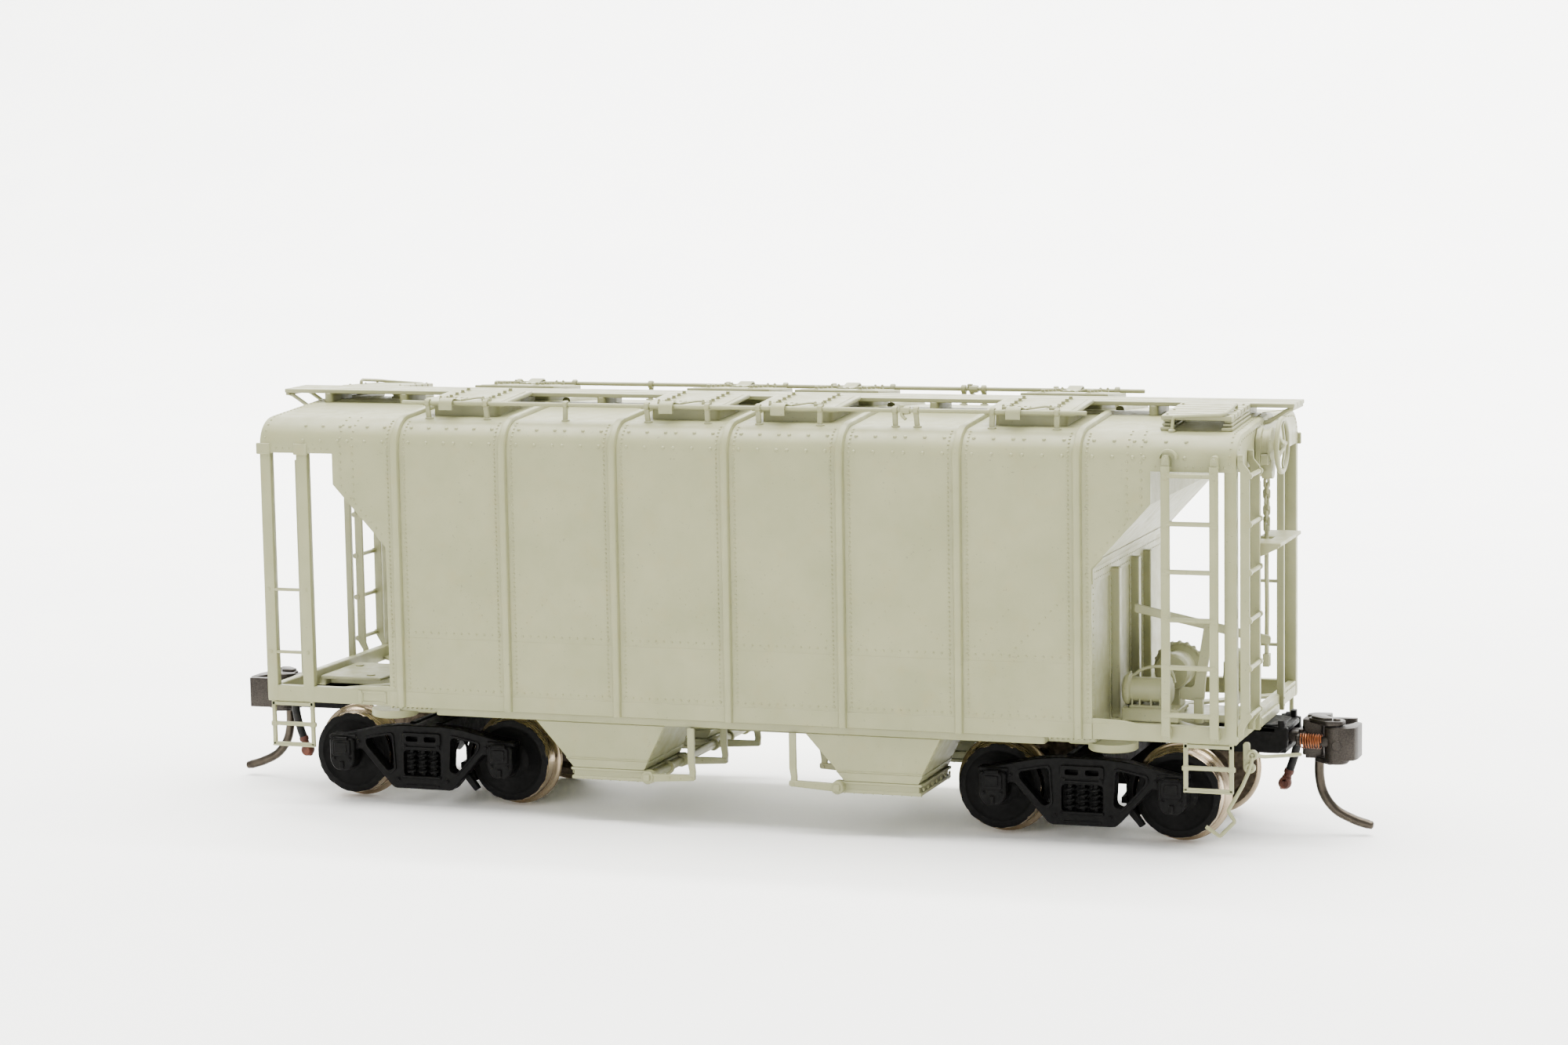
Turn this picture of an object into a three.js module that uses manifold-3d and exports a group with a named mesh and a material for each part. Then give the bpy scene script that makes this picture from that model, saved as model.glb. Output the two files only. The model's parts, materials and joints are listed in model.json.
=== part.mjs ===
// Covered hopper car model, HO scale. Millimetres, +Z up, +X towards the hand-brake end.
// The wheels stand on z = 0. Side "r" is the -Y side and side "l" is the +Y side.
import * as THREE from 'three';
import { mergeVertices } from 'three/addons/utils/BufferGeometryUtils.js';
import Module from 'manifold-3d';

const wasm = await Module();
wasm.setup();

// ---- driving dimensions ----
const TAU = Math.PI * 2;
const GAP = 0.04; // left between pieces that touch
const END_X = 57.14; // half length over the corner posts
const SIDE_Y = 16.02; // half width over the side sheets
const WALL = 1.0;
const SILL_Z = 12.33; // underside of the side sheets and sills
const SILL_TOP = 14.2;
const EAVE_Z = 42.2; // where a side starts to curve into the roof
const WINDOW_TOP = 41.29; // underside of the roof over the open ends
const ROOF_EDGE_Y = 12.5;
const ROOF_SLOPE = 0.065;
const ROOF_Z = 46.05; // ridge
const SHEET_X = 41.41; // half length of the side sheets at the bottom
const SHELF_X = 47.87; // half length of the side sheets at the top
const SLOPE_Z = [30.73, 37.77]; // where the end slope starts and ends
const RIB = { pitch: 13.3, width: 0.96, out: 0.5 };
const HATCH = { xs: [-33.4, -6.6, 6.6, 33.4], length: 10.1, near: 3.1, far: 11.4, thick: 0.45 };
const LID = { z: 47.62, slope: 0.078 }; // top of a lid at its inner edge, and its fall towards the side
const COAMING = { length: 8.1, near: 3.9, far: 10.7, wall: 0.6 };
const BOARD = { x: 60.5, y: 2.75, z0: 46.93, z1: 47.4 };
const ROD = { y: 13, z: 47.05, r: 0.24 };
const TRUCK_X = 39.32;
const AXLE = { x: 10, z: 5.45 };
const WHEEL = { tread: 4.81, flange: 5.45, back: 7.25, face: 10 };
const LADDER = { x: 52.3, pitch: 5.1, first: 15.5, rungs: 6, half: 2.6, rung: 0.28 };
const COUPLER = { pivot: 56, z: 10.8 };
const STIFFENER = { ys: [-7.4, 1.4, 6.9], half: 0.5, out: 1, top: 29.8 }; // on the +X end sheet
const CORNER_POST_X = 55.76; // inner edge of the corner posts
const END_POST = { y: 6.25, half: 0.275, inner: 56.75, outer: 57.6, step: 39.4 }; // a pair at each end

const roofZ = (y) => ROOF_Z - ROOF_SLOPE * Math.abs(y);

// ---- materials ----
function material(color, roughness, metalness) {
  return new THREE.MeshStandardMaterial({ color, roughness, metalness });
}
const paint = material(0xc9c8b8, 0.55, 0);
const black = material(0x1b1b1c, 0.6, 0);
const nickel = material(0xb3a48c, 0.3, 0.9);
const castMetal = material(0x3c3a39, 0.5, 0.6);
const copper = material(0xc07a45, 0.35, 0.9);
const steel = material(0x7a7a7c, 0.4, 0.9);

// ---- solids ----
function solid(geometry) {
  const bare = geometry.clone();
  bare.deleteAttribute('normal');
  bare.deleteAttribute('uv');
  const merged = mergeVertices(bare, 1e-4);
  return new wasm.Manifold(new wasm.Mesh({
    numProp: 3,
    vertProperties: new Float32Array(merged.attributes.position.array),
    triVerts: new Uint32Array(merged.index.array),
  }));
}

function join(...bodies) {
  return bodies.flat().reduce((whole, body) => whole.add(body));
}

function box([x0, x1], [y0, y1], [z0, z1]) {
  const geometry = new THREE.BoxGeometry(x1 - x0, y1 - y0, z1 - z0);
  geometry.translate((x0 + x1) / 2, (y0 + y1) / 2, (z0 + z1) / 2);
  return solid(geometry);
}

// Extrudes an outline between two stations: its points are [y, z] along x, [x, z] along y, [x, y] along z
function prism(axis, outline, from, to) {
  const shape = new THREE.Shape(outline.map(([u, v]) => new THREE.Vector2(u, v)));
  const geometry = new THREE.ExtrudeGeometry(shape, { depth: to - from, bevelEnabled: false });
  if (axis === 'y') {
    geometry.translate(0, 0, -to);
    geometry.rotateX(TAU / 4);
    return solid(geometry);
  }
  geometry.translate(0, 0, from);
  if (axis === 'x') {
    const turn = new THREE.Matrix4();
    turn.makeBasis(new THREE.Vector3(0, 1, 0), new THREE.Vector3(0, 0, 1), new THREE.Vector3(1, 0, 0));
    geometry.applyMatrix4(turn);
  }
  return solid(geometry);
}

// Lays a geometry that was made along +Y onto another axis, through a centre given as for prism
function lay(geometry, axis, [u, v]) {
  if (axis === 'x') {
    geometry.rotateZ(-TAU / 4);
    geometry.translate(0, u, v);
  } else if (axis === 'y') {
    geometry.translate(u, 0, v);
  } else {
    geometry.rotateX(TAU / 4);
    geometry.translate(u, v, 0);
  }
  return solid(geometry);
}

function cylinder(axis, radius, from, to, centre, sides = 12, endRadius = radius) {
  const geometry = new THREE.CylinderGeometry(endRadius, radius, to - from, sides);
  geometry.translate(0, (from + to) / 2, 0);
  return lay(geometry, axis, centre);
}

// Turns a profile of [radius, station] points that starts and ends on the axis
function turned(axis, profile, centre, sides) {
  const points = profile.map(([radius, station]) => new THREE.Vector2(radius, station));
  return lay(new THREE.LatheGeometry(points, sides), axis, centre);
}

// Sweeps a round section along a smooth path
function wire(points, radius, steps = points.length - 1, sides = 6, tension = 0.3) {
  const corners = points.map((point) => new THREE.Vector3(...point));
  const path = new THREE.CatmullRomCurve3(corners, false, 'catmullrom', tension);
  const ring = Array.from({ length: sides }, (_, i) => {
    const angle = TAU * i / sides;
    return new THREE.Vector2(radius * Math.cos(angle), radius * Math.sin(angle));
  });
  const sweep = { steps, bevelEnabled: false, extrudePath: path };
  return solid(new THREE.ExtrudeGeometry(new THREE.Shape(ring), sweep));
}

// A straight bar of square section between two points
function strut(a, b, width, sides = 4) {
  return wire([a, b], width * Math.SQRT1_2, 1, sides);
}

const span = (a, b) => (a < b ? [a, b] : [b, a]);
const around = (middle, half) => [middle - half, middle + half];

// ---- scene ----
const car = new THREE.Group();

function place(group, name, body, look) {
  const mesh = body.getMesh();
  const geometry = new THREE.BufferGeometry();
  geometry.setAttribute('position', new THREE.BufferAttribute(new Float32Array(mesh.vertProperties), 3));
  geometry.setIndex(new THREE.BufferAttribute(new Uint32Array(mesh.triVerts), 1));
  geometry.computeVertexNormals();
  const node = new THREE.Mesh(geometry, look);
  node.name = name;
  group.add(node);
}

// Adds the same body at the brake end ("b") and, turned half round, at the other end ("a")
function placeAtBothEnds(name, body, look) {
  const turnedEnd = new THREE.Group();
  turnedEnd.rotation.z = Math.PI;
  car.add(turnedEnd);
  place(car, `${name}_b`, body, look);
  place(turnedEnd, `${name}_a`, body, look);
}

// ---- car body ----
function roofOutline(grow, bottom) {
  const edgeZ = roofZ(ROOF_EDGE_Y) + grow;
  const steps = 5;
  const quarter = Array.from({ length: steps + 1 }, (_, i) => {
    const angle = TAU / 4 * i / steps;
    const y = ROOF_EDGE_Y + (SIDE_Y + grow - ROOF_EDGE_Y) * Math.cos(angle);
    return [y, EAVE_Z + (edgeZ - EAVE_Z) * Math.sin(angle)];
  });
  const mirrored = quarter.map(([y, z]) => [-y, z]).reverse();
  return [[SIDE_Y + grow, bottom], ...quarter, [0, ROOF_Z + grow], ...mirrored, [-SIDE_Y - grow, bottom]];
}

function endOutline(inset, bottom, top) {
  const lift = 0.39 * inset; // keeps the sloped wall as thick as the upright ones
  const half = [
    [SHEET_X - inset, bottom],
    [SHEET_X - inset, SLOPE_Z[0] + lift],
    [SHELF_X - inset, SLOPE_Z[1] + lift],
    [SHELF_X - inset, top],
  ];
  return [...half, ...half.map(([x, z]) => [-x, z]).reverse()];
}

function hatchCoaming(x, side, grow, bottom, top) {
  const ys = span(side * (COAMING.near - grow), side * (COAMING.far + grow));
  return box(around(x, COAMING.length / 2 + grow), ys, [bottom, top]);
}

function coamingTop(side) {
  const z = (y) => LID.z - HATCH.thick - GAP - LID.slope * (Math.abs(y) - HATCH.near);
  const ends = [[0, z(0)], [side * 16, z(16)], [side * 16, z(16) + 3], [0, z(0) + 3]];
  return prism('x', ends, -END_X, END_X);
}

function openEnd(end) {
  const outer = end * END_X;
  const inner = end * (SHEET_X - 0.5);
  const sills = [-1, 1].map((side) => {
    return box(span(inner, outer), span(side * (SIDE_Y - WALL), side * SIDE_Y), [SILL_Z, SILL_TOP]);
  });
  const post = (from, to, side) => {
    const ys = span(side * (SIDE_Y - WALL), side * SIDE_Y);
    return box(span(end * from, end * to), ys, [SILL_Z + 0.2, WINDOW_TOP + 0.5]);
  };
  const grabSide = end;
  const grabs = [18.1, 25.4].map((z) => {
    return cylinder('x', 0.22, ...span(end * 52, end * 56.8), [grabSide * (SIDE_Y - 0.25), z], 6);
  });
  const stiffeners = STIFFENER.ys.map((y) => {
    const xs = span(end * (SHEET_X - 0.3), end * (SHEET_X + STIFFENER.out));
    return box(xs, around(end * y, STIFFENER.half), [13.3, STIFFENER.top]);
  });
  const corners = [-1, 1].map((side) => post(CORNER_POST_X, END_X, side));
  const posts = [...corners, post(51.1, 52.5, grabSide)];
  return [...sills, ...posts, ...grabs, ...stiffeners];
}

function bodyShell() {
  const top = ROOF_Z + 1;
  let shell = prism('x', roofOutline(0, SILL_Z), -SHELF_X, SHELF_X);
  shell = shell.intersect(prism('y', endOutline(0, SILL_Z - 1, top), -20, 20));
  for (let i = -3; i <= 3; i += 1) {
    const xs = around(i * RIB.pitch, RIB.width / 2);
    shell = shell.add(prism('x', roofOutline(RIB.out, SILL_Z), ...xs));
  }
  shell = shell.add(prism('x', roofOutline(0, WINDOW_TOP), -END_X, END_X));
  const coamings = HATCH.xs.flatMap((x) => [-1, 1].map((side) => hatchCoaming(x, side, 0, 44.6, 48)));
  shell = join(shell, coamings).subtract(coamingTop(1)).subtract(coamingTop(-1));
  const hollow = prism('x', roofOutline(-WALL, SILL_Z - 1), -SHELF_X, SHELF_X);
  shell = shell.subtract(hollow.intersect(prism('y', endOutline(WALL, SILL_Z - 2, top), -20, 20)));
  for (const x of HATCH.xs) {
    for (const side of [-1, 1]) {
      shell = shell.subtract(hatchCoaming(x, side, -COAMING.wall, 43, 48));
    }
  }
  const tray = prism('x', roofOutline(-WALL, WINDOW_TOP - 1), SHELF_X + 0.01, END_X - WALL);
  shell = shell.subtract(tray).subtract(tray.rotate([0, 0, 180]));
  return join(shell, openEnd(1), openEnd(-1));
}
place(car, 'body_shell', bodyShell(), paint);

// ---- underframe ----
const DECK_Z = [11.45, SILL_Z - 0.03];
const BOLSTER_Z = [10.95, 11.6];

// Two uprights that stand on the end sill; above the step they stay behind the brake housing
function endPosts(end) {
  const { y, half, inner, outer, step } = END_POST;
  return [-1, 1].flatMap((side) => [
    box(span(end * inner, end * outer), around(side * y, half), [SILL_Z, step]),
    box(span(end * inner, end * END_X), around(side * y, half), [step - 1, WINDOW_TOP - GAP]),
  ]);
}

function endPlatform(end) {
  const sill = box(span(end * 56.1, end * END_X), around(0, SIDE_Y - WALL - GAP), [SILL_Z + 0.05, SILL_TOP]);
  const striker = box(span(end * 55.4, end * (END_X + 0.3)), around(0, 4.6), [COUPLER.z + 1.5, 13.4]);
  const cover = box(span(end * (SHEET_X + 0.1), end * 56.5), around(0, 3.2), [12.24, 13.2]);
  const braces = [-1, 1].map((side) => {
    return strut([end * 43, side * 2, 12.7], [end * 56.4, side * 14, 12.7], 0.9);
  });
  return [sill, striker, cover, ...braces, ...endPosts(end)];
}

function underframe() {
  const deck = [
    box([-36, 36], around(0, 15.6), DECK_Z),
    box(around(0, SHEET_X - 0.05), around(0, 14), DECK_Z),
    box(around(0, 51.2), around(0, 1.9), [11.1, DECK_Z[1]]),
    box([-26, 26], around(0, 1.75), [8.6, 11.6]),
  ];
  const bolsters = [1, -1].flatMap((end) => [
    box(around(end * TRUCK_X, 1.6), around(0, 12), BOLSTER_Z),
    cylinder('z', 4.2, ...BOLSTER_Z, [end * TRUCK_X, 0], 20),
  ]);
  return join(deck, bolsters, endPlatform(1), endPlatform(-1));
}
place(car, 'underframe', underframe(), paint);

// ---- ballast ----
place(car, 'ballast_weight', box([-34, 34], [-11, 11], [SILL_Z + 0.02, 14.3]), steel);

// ---- hopper bays, each with an outlet chute on either side of the centre sill ----
const CHUTE = { top: [-7.7, 7.9], bottom: [-3.1, 5.3], outer: 15.55, inner: 4.4, z: [6.3, DECK_Z[0] - 0.03] };
const BAY_XS = { a: -15.85, b: 16.35 };

function chute(x, side) {
  const [bottom, top] = CHUTE.z;
  const outline = [
    [x + CHUTE.bottom[0], bottom],
    [x + CHUTE.bottom[1], bottom],
    [x + CHUTE.top[1], top],
    [x + CHUTE.top[0], top],
  ];
  return prism('y', outline, ...span(side * CHUTE.inner, side * CHUTE.outer));
}

function hopperBay(x) {
  const tie = box(around(x, 2.5), around(0, CHUTE.inner + 0.5), [7.3, 8.5]);
  return join(chute(x, 1), chute(x, -1), tie);
}

// Gate frames of one bay on their common operating shaft, with its arms and hanging straps
function outletGates(x, end) {
  const [left, right] = [x + CHUTE.bottom[0], x + CHUTE.bottom[1]];
  const shaftX = end > 0 ? left - 0.7 : right + 0.7;
  const strapX = shaftX - end * 5.2;
  const shaftZ = 5.6;
  const frames = [-1, 1].map((side) => {
    const ys = span(side * (CHUTE.inner - 0.2), side * CHUTE.outer);
    return box([left - 0.4, right + 0.4], ys, [4.95, CHUTE.z[0] - 0.03]);
  });
  const shaft = cylinder('y', 0.55, -16.2, 16.2, [shaftX, shaftZ], 8);
  const linkages = [-15.9, -5.5, 5.5, 15.9].flatMap((y) => {
    const ys = around(y, 0.3);
    const arm = prism('y', [
      [shaftX, shaftZ + 0.6],
      [shaftX, shaftZ - 0.6],
      [strapX - end * 0.4, shaftZ - 0.35],
      [strapX - end * 0.4, shaftZ + 0.65],
    ], ...ys);
    const strap = box(around(strapX, 0.42), ys, [shaftZ, DECK_Z[0] - 0.03]);
    return [arm, strap];
  });
  return join(frames, shaft, linkages);
}

for (const [end, x] of Object.entries(BAY_XS)) {
  place(car, `hopper_bay_${end}`, hopperBay(x), paint);
  place(car, `outlet_gates_${end}`, outletGates(x, end === 'b' ? 1 : -1), paint);
}

// ---- running boards ----
function runningBoard() {
  const deck = box(around(0, BOARD.x), around(0, BOARD.y), [BOARD.z0, BOARD.z1]);
  const saddles = [-54.8, -45, -20, 20, 45, 54.8].map((x) => {
    return box(around(x, 0.5), around(0, BOARD.y + 0.05), [ROOF_Z + GAP, BOARD.z0 + 0.2]);
  });
  const braces = [-1, 1].flatMap((end) => [-2.2, 2.2].map((y) => {
    return strut([end * 60.1, y, BOARD.z0 + 0.1], [end * 57.5, y, 45.4], 0.5);
  }));
  return join(deck, saddles, braces);
}
place(car, 'running_board', runningBoard(), paint);

// Sloping side walk on two supports, with its corner grab iron, at the -Y side of the +X end
function lateralBoard() {
  const [inner, outer] = [-(BOARD.y + 0.1), -12.4];
  const [middle, half] = [52, 3.8];
  const top = (y) => 47.58 - 0.055 * Math.abs(y);
  const upper = [[inner, top(inner)], [outer, top(outer)]];
  const lower = [[outer, top(outer) - 0.6], [inner, top(inner) - 0.6]];
  const plank = [...upper, ...lower];
  const foot = (y) => roofZ(y) + GAP;
  const supportEnd = outer + 0.3;
  const rail = [
    [inner, top(inner) - 0.3],
    [supportEnd, top(supportEnd) - 0.3],
    [supportEnd, foot(supportEnd)],
    [inner, foot(inner)],
  ];
  const supports = [-1, 1].map((end) => prism('x', rail, ...around(middle + end * (half - 0.5), 0.45)));
  const edge = outer - 0.25;
  const grab = [
    [49.5, outer - 0.55, foot(13) + 0.1],
    [49.55, edge, 46.65],
    [49.85, edge, 46.8],
    [54.8, edge, 47.05],
    [55.1, edge + 0.3, 47.12],
    [55.1, -7.1, 47.68],
    [55.1, -6.8, 47.5],
    [55.1, -6.8, 47],
  ];
  return join(prism('x', plank, ...around(middle, half)), supports, wire(grab, 0.2, 12, 6, 0.1));
}
placeAtBothEnds('lateral_running_board', lateralBoard(), paint);

// ---- hatches ----
function hatchCover(x, side) {
  const { near, far, thick } = HATCH;
  const at = (y, lift) => [side * y, LID.z - LID.slope * (y - near) + lift];
  const strip = (from, to, low, high, xs) => {
    return prism('x', [at(from, low), at(to, low), at(to, high), at(from, high)], ...xs);
  };
  const lid = strip(near, far, -thick, 0, around(x, HATCH.length / 2));
  const battens = [-2.65, 2.65].map((dx) => strip(near + 0.8, far - 0.3, -0.2, 0.25, around(x + dx, 0.5)));
  const hasp = prism('x', [
    at(far - 2.2, -0.2),
    at(far - 2.2, 0.2),
    at(far - 0.2, 0.2),
    [side * (ROD.y - 0.2), ROD.z + ROD.r + 0.4],
    [side * (ROD.y + 0.6), ROD.z + 0.15],
    [side * (ROD.y + 0.75), ROD.z - 0.5],
    [side * (ROD.y + 0.5), ROD.z - 0.5],
    [side * (ROD.y + 0.33), ROD.z + 0.1],
    [side * (ROD.y - 0.1), ROD.z + ROD.r + 0.12],
    at(far - 0.1, -0.2),
  ], ...around(x - 1.2, 0.8));
  return join(lid, battens, hasp);
}

function hatchRod(side) {
  const stands = HATCH.xs.flatMap((x) => [x - 3.6, x + 3.6]).concat(-20, 18.8, 21.2);
  const rod = cylinder('x', ROD.r, -40.2, 40.2, [side * ROD.y, ROD.z], 6);
  const posts = stands.map((x) => {
    const ys = around(side * ROD.y, 0.2);
    return box(around(x, 0.32), ys, [roofZ(ROD.y) + GAP, ROD.z + 0.35]);
  });
  const lever = box(around(20, 0.3), around(side * ROD.y, 0.3), [ROD.z - 0.9, ROD.z + 0.6]);
  return join(rod, posts, lever);
}

for (const [name, side] of [['r', -1], ['l', 1]]) {
  HATCH.xs.forEach((x, i) => place(car, `hatch_cover_${name}${i + 1}`, hatchCover(x, side), paint));
  place(car, `hatch_rod_${name}`, hatchRod(side), paint);
}

// ---- ladders and steps ----
const rungHeights = Array.from({ length: LADDER.rungs }, (_, i) => LADDER.first + i * LADDER.pitch);

function sideLadder() {
  const y = -(SIDE_Y + 0.95);
  const rails = [-1, 1].flatMap((side) => {
    const xs = around(LADDER.x + side * LADDER.half, 0.5);
    const lug = (z0, z1) => box(xs, span(-(SIDE_Y + GAP), y + 0.1), [z0, z1]);
    return [box(xs, around(y, 0.2), [13.2, 43.2]), lug(41.9, 43.2), lug(13.2, 14.0)];
  });
  const xs = around(LADDER.x, LADDER.half);
  const rungs = rungHeights.map((z) => cylinder('x', LADDER.rung, ...xs, [y, z], 6));
  return join(rails, rungs);
}

function endLadder() {
  const x = END_X + 0.9;
  const rails = [-15.75, -10.6].flatMap((y) => {
    const ys = around(y, 0.2);
    const lug = (z0, z1) => box([END_X + GAP, x], ys, [z0, z1]);
    return [box(around(x, 0.5), ys, [13.2, 43.2]), lug(41.9, 43.2), lug(13.2, 14.0)];
  });
  const rungs = rungHeights.map((z) => cylinder('y', LADDER.rung, -15.75, -10.6, [x, z], 6));
  return join(rails, rungs);
}

function sillStep(x, side) {
  const [half, y] = [2.7, side * (SIDE_Y - 0.3)];
  const bar = (z) => box(around(x, half), around(y, 0.25), around(z, 0.25));
  const legs = [-1, 1].map((end) => {
    return box(around(x + end * (half - 0.25), 0.25), around(y, 0.25), [7.05, SILL_Z - GAP]);
  });
  return join(legs, bar(7.3), bar(9.8), bar(SILL_Z - GAP - 0.25));
}

placeAtBothEnds('side_ladder', sideLadder(), paint);
placeAtBothEnds('end_ladder', endLadder(), paint);
for (const [end, x] of [['a', -54], ['b', 54]]) {
  for (const [name, side] of [['r', -1], ['l', 1]]) {
    place(car, `sill_step_${end}_${name}`, sillStep(x, side), paint);
  }
}

// ---- hand brake at the +X end ----
const BRAKE = { y: -5.5, z: 43.2, radius: 3.1, x: 59.75 };

function brakeWheel() {
  const { y, z, radius, x } = BRAKE;
  const rim = [
    [radius - 0.45, x - 0.25],
    [radius, x - 0.25],
    [radius, x + 0.25],
    [radius - 0.45, x + 0.25],
    [radius - 0.45, x - 0.25],
  ];
  const ring = turned('x', rim, [y, z], 24);
  const spokes = Array.from({ length: 5 }, (_, i) => {
    const angle = TAU * i / 5;
    const reach = radius - 0.3;
    return strut([x, y, z], [x, y + reach * Math.cos(angle), z + reach * Math.sin(angle)], 0.4);
  });
  const hub = cylinder('x', 0.6, x - 0.35, x + 0.4, [y, z], 8);
  return join(ring, spokes, hub);
}

function brakeHousing() {
  const { y, z, x } = BRAKE;
  const back = box([END_X + GAP, END_X + 0.8], around(y - 0.2, 1.5), [39.9, 45]);
  const drum = cylinder('x', 1.9, END_X + 0.3, x - 0.45, [y, z], 14);
  const sump = box([END_X + 0.5, END_X + 1.7], around(y, 1.0), [39.6, 42]);
  return join(back, drum, sump);
}

function brakeChain() {
  const [x, y] = [END_X + 0.95, BRAKE.y];
  const links = Array.from({ length: 4 }, (_, i) => {
    const foot = 34.4 + i * 1.2;
    return box(around(x, 0.3), around(y, 0.35), [foot, foot + 1.5]);
  });
  const rod = box(around(x, 0.22), around(y, 0.22), [20.4, 34.6]);
  const clevis = box(around(x, 0.4), around(y, 0.5), [19.2, 20.6]);
  return join(links, rod, clevis);
}

function brakePlatform() {
  const [from, to, under, top] = [-10.3, 0.6, 32.8, 33.25];
  const [back, front, notch] = [END_X + GAP, 60.6, 58.85];
  const [left, right] = [BRAKE.y - 1.25, BRAKE.y + 0.65];
  const outline = [
    [back, from], [front, from], [front, to], [back, to], [back, right], [notch, right], [notch, left], [back, left],
  ];
  const step = prism('z', outline, under, top);
  const side = [[back, under + 0.1], [front - 0.2, under + 0.1], [back, 31.3]];
  const gussets = [from, to - 0.4].map((y) => prism('y', side, y, y + 0.4));
  return join(step, gussets);
}

place(car, 'brake_wheel', brakeWheel(), paint);
place(car, 'brake_gear_housing', brakeHousing(), paint);
place(car, 'brake_chain', brakeChain(), paint);
place(car, 'brake_platform', brakePlatform(), paint);

// ---- air brake gear on the +X platform ----
function airReservoir() {
  const [y, z, r, rim] = [-8.6, 16.65, 1.35, 1.75];
  const ends = [[0, 42.95], [1.3, 42.95], [rim, 43.3], [rim, 43.8], [r, 43.85]];
  const profile = [...ends, [r, 47.65], [rim, 47.7], [rim, 48.2], [1.3, 48.5], [0, 48.5]];
  const tank = turned('x', profile, [y, z], 14);
  const feet = [45, 46.25].map((x) => box(around(x, 0.15), around(y, 1.2), [14.6, 16]));
  return join(tank, feet, box([43.2, 49.4], around(y, 1.5), [13.4, 14.8]));
}

function brakeCylinder() {
  const [x, z] = [47, 17.7];
  const barrel = [[0, -3.4], [1.3, -3.4], [2, -2.8], [2, 0.4]];
  const flange = [[2.9, 0.4], [2.9, 1.2], [2.1, 1.9], [0, 2.1]];
  const profile = [...barrel, ...flange];
  const drum = turned('y', profile, [x, z], 16);
  return join(drum, box(around(x, 0.8), [-2.4, 0.2], [13.25, 18]));
}

function controlValve() {
  const [x, y] = [52.6, 4.6];
  const body = box(around(x, 1.4), around(y, 1.5), [14.6, 18.2]);
  const bowl = cylinder('z', 1.1, 17.8, 19.4, [x, y], 10);
  const bracket = box(around(x, 0.6), [y - 3, y + 0.6], [13.25, 15]);
  return join(body, bowl, bracket);
}

// Pull rod from the end sheet out to the hand brake, and the lever that leans down from it to its arm
function brakeLever() {
  const y = -7.2;
  const rod = prism('y', [[43.8, 25.8], [43.8, 24.87], [58.9, 21.8], [58.9, 22.82]], ...around(y, 0.2));
  const lever = prism('y', [[50.4, 16], [51.4, 16], [52.65, 23.9], [51.65, 23.9]], ...around(y, 0.25));
  const arm = box([48.9, 51.5], around(y, 0.35), [15.5, 16.85]);
  const foot = box(around(51, 0.5), around(y, 0.5), [13.0, 15.6]);
  return join(rod, lever, arm, foot);
}

place(car, 'air_reservoir', airReservoir(), paint);
place(car, 'brake_cylinder', brakeCylinder(), paint);
place(car, 'control_valve', controlValve(), paint);
place(car, 'brake_lever', brakeLever(), paint);

// ---- couplers, drawn at the +X end ----
function couplerBox() {
  const shell = box([51.6, 60], around(0, 3.9), [9.35, 12.2]);
  const cavity = box([53.2, 60.5], around(0, 3.1), [10.0, 11.55]);
  const post = cylinder('z', 0.85, 9.8, 11.8, [COUPLER.pivot, 0], 10);
  return shell.subtract(cavity).add(post);
}

function couplerHead() {
  const { pivot, z } = COUPLER;
  const thin = [z - 0.6, z + 0.6];
  const eye = cylinder('z', 2.0, ...thin, [pivot, 0], 16);
  const shank = box([pivot, 61.6], around(0, 1.35), thin);
  const block = prism('z', [[61.1, -0.9], [63.3, -0.9], [63.3, 2.7], [62.2, 2.7], [61.1, 1.6]], 8.75, 12.7);
  const guard = prism('z', [[63.1, 1.7], [66.4, 2.2], [66.4, 2.9], [62.8, 2.7]], 8.95, 12.4);
  const cap = [[61.6, -0.7], [64.2, -3.0], [65.8, -2.6], [65.9, -1.0], [63.4, 1.4], [61.6, 1.4]];
  const lug = prism('z', cap, 12.4, 12.95);
  const nib = box([60.5, 61.0], [-2.2, -1.2], [z - 0.35, z + 0.15]);
  const whole = join(eye, shank, block, guard, lug, nib);
  return whole.subtract(cylinder('z', 0.95, z - 2, z + 2, [pivot, 0], 10));
}

const KNUCKLE = { x: 65, y: -1.7 };

function knuckle() {
  const hub = cylinder('z', 1.35, 8.2, 12.3, [KNUCKLE.x, KNUCKLE.y], 14);
  const hook = [[64.6, -3.0], [66.6, -3.0], [67.3, -2.2], [67.3, 1.0], [66.5, 1.3], [66.0, -0.6], [65, -0.8]];
  const nose = prism('z', hook, 8.75, 12.3);
  const tail = prism('z', [[62.4, -0.9], [64.6, -2.9], [65.6, -0.6], [63.3, 0.4], [62.4, 0.2]], 8.15, 8.65);
  const pin = [
    [62.85, -0.4, 8.4],
    [62.9, -0.4, 6.2],
    [63.5, -0.3, 4.2],
    [64.9, -0.2, 2.5],
    [66.7, -0.1, 1.6],
    [68.7, 0, 1.15],
  ];
  return join(hub, nose, tail, wire(pin, 0.5, 10, 8, 0.5));
}

function knuckleSpring() {
  return cylinder('x', 0.85, 61.05, 63.55, [-2.27, COUPLER.z - 0.2], 10);
}

function airHose() {
  const y = 4.75;
  const drop = [[58.2, y, 12.1], [59.3, y, 11], [59.4, y, 9.4], [58.8, y, 7], [58.1, y, 4.9]];
  const gladHand = box([57.5, 58.6], around(y, 0.55), [3.6, 5.1]);
  return join(wire(drop, 0.45, 10, 8, 0.5), gladHand);
}

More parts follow.
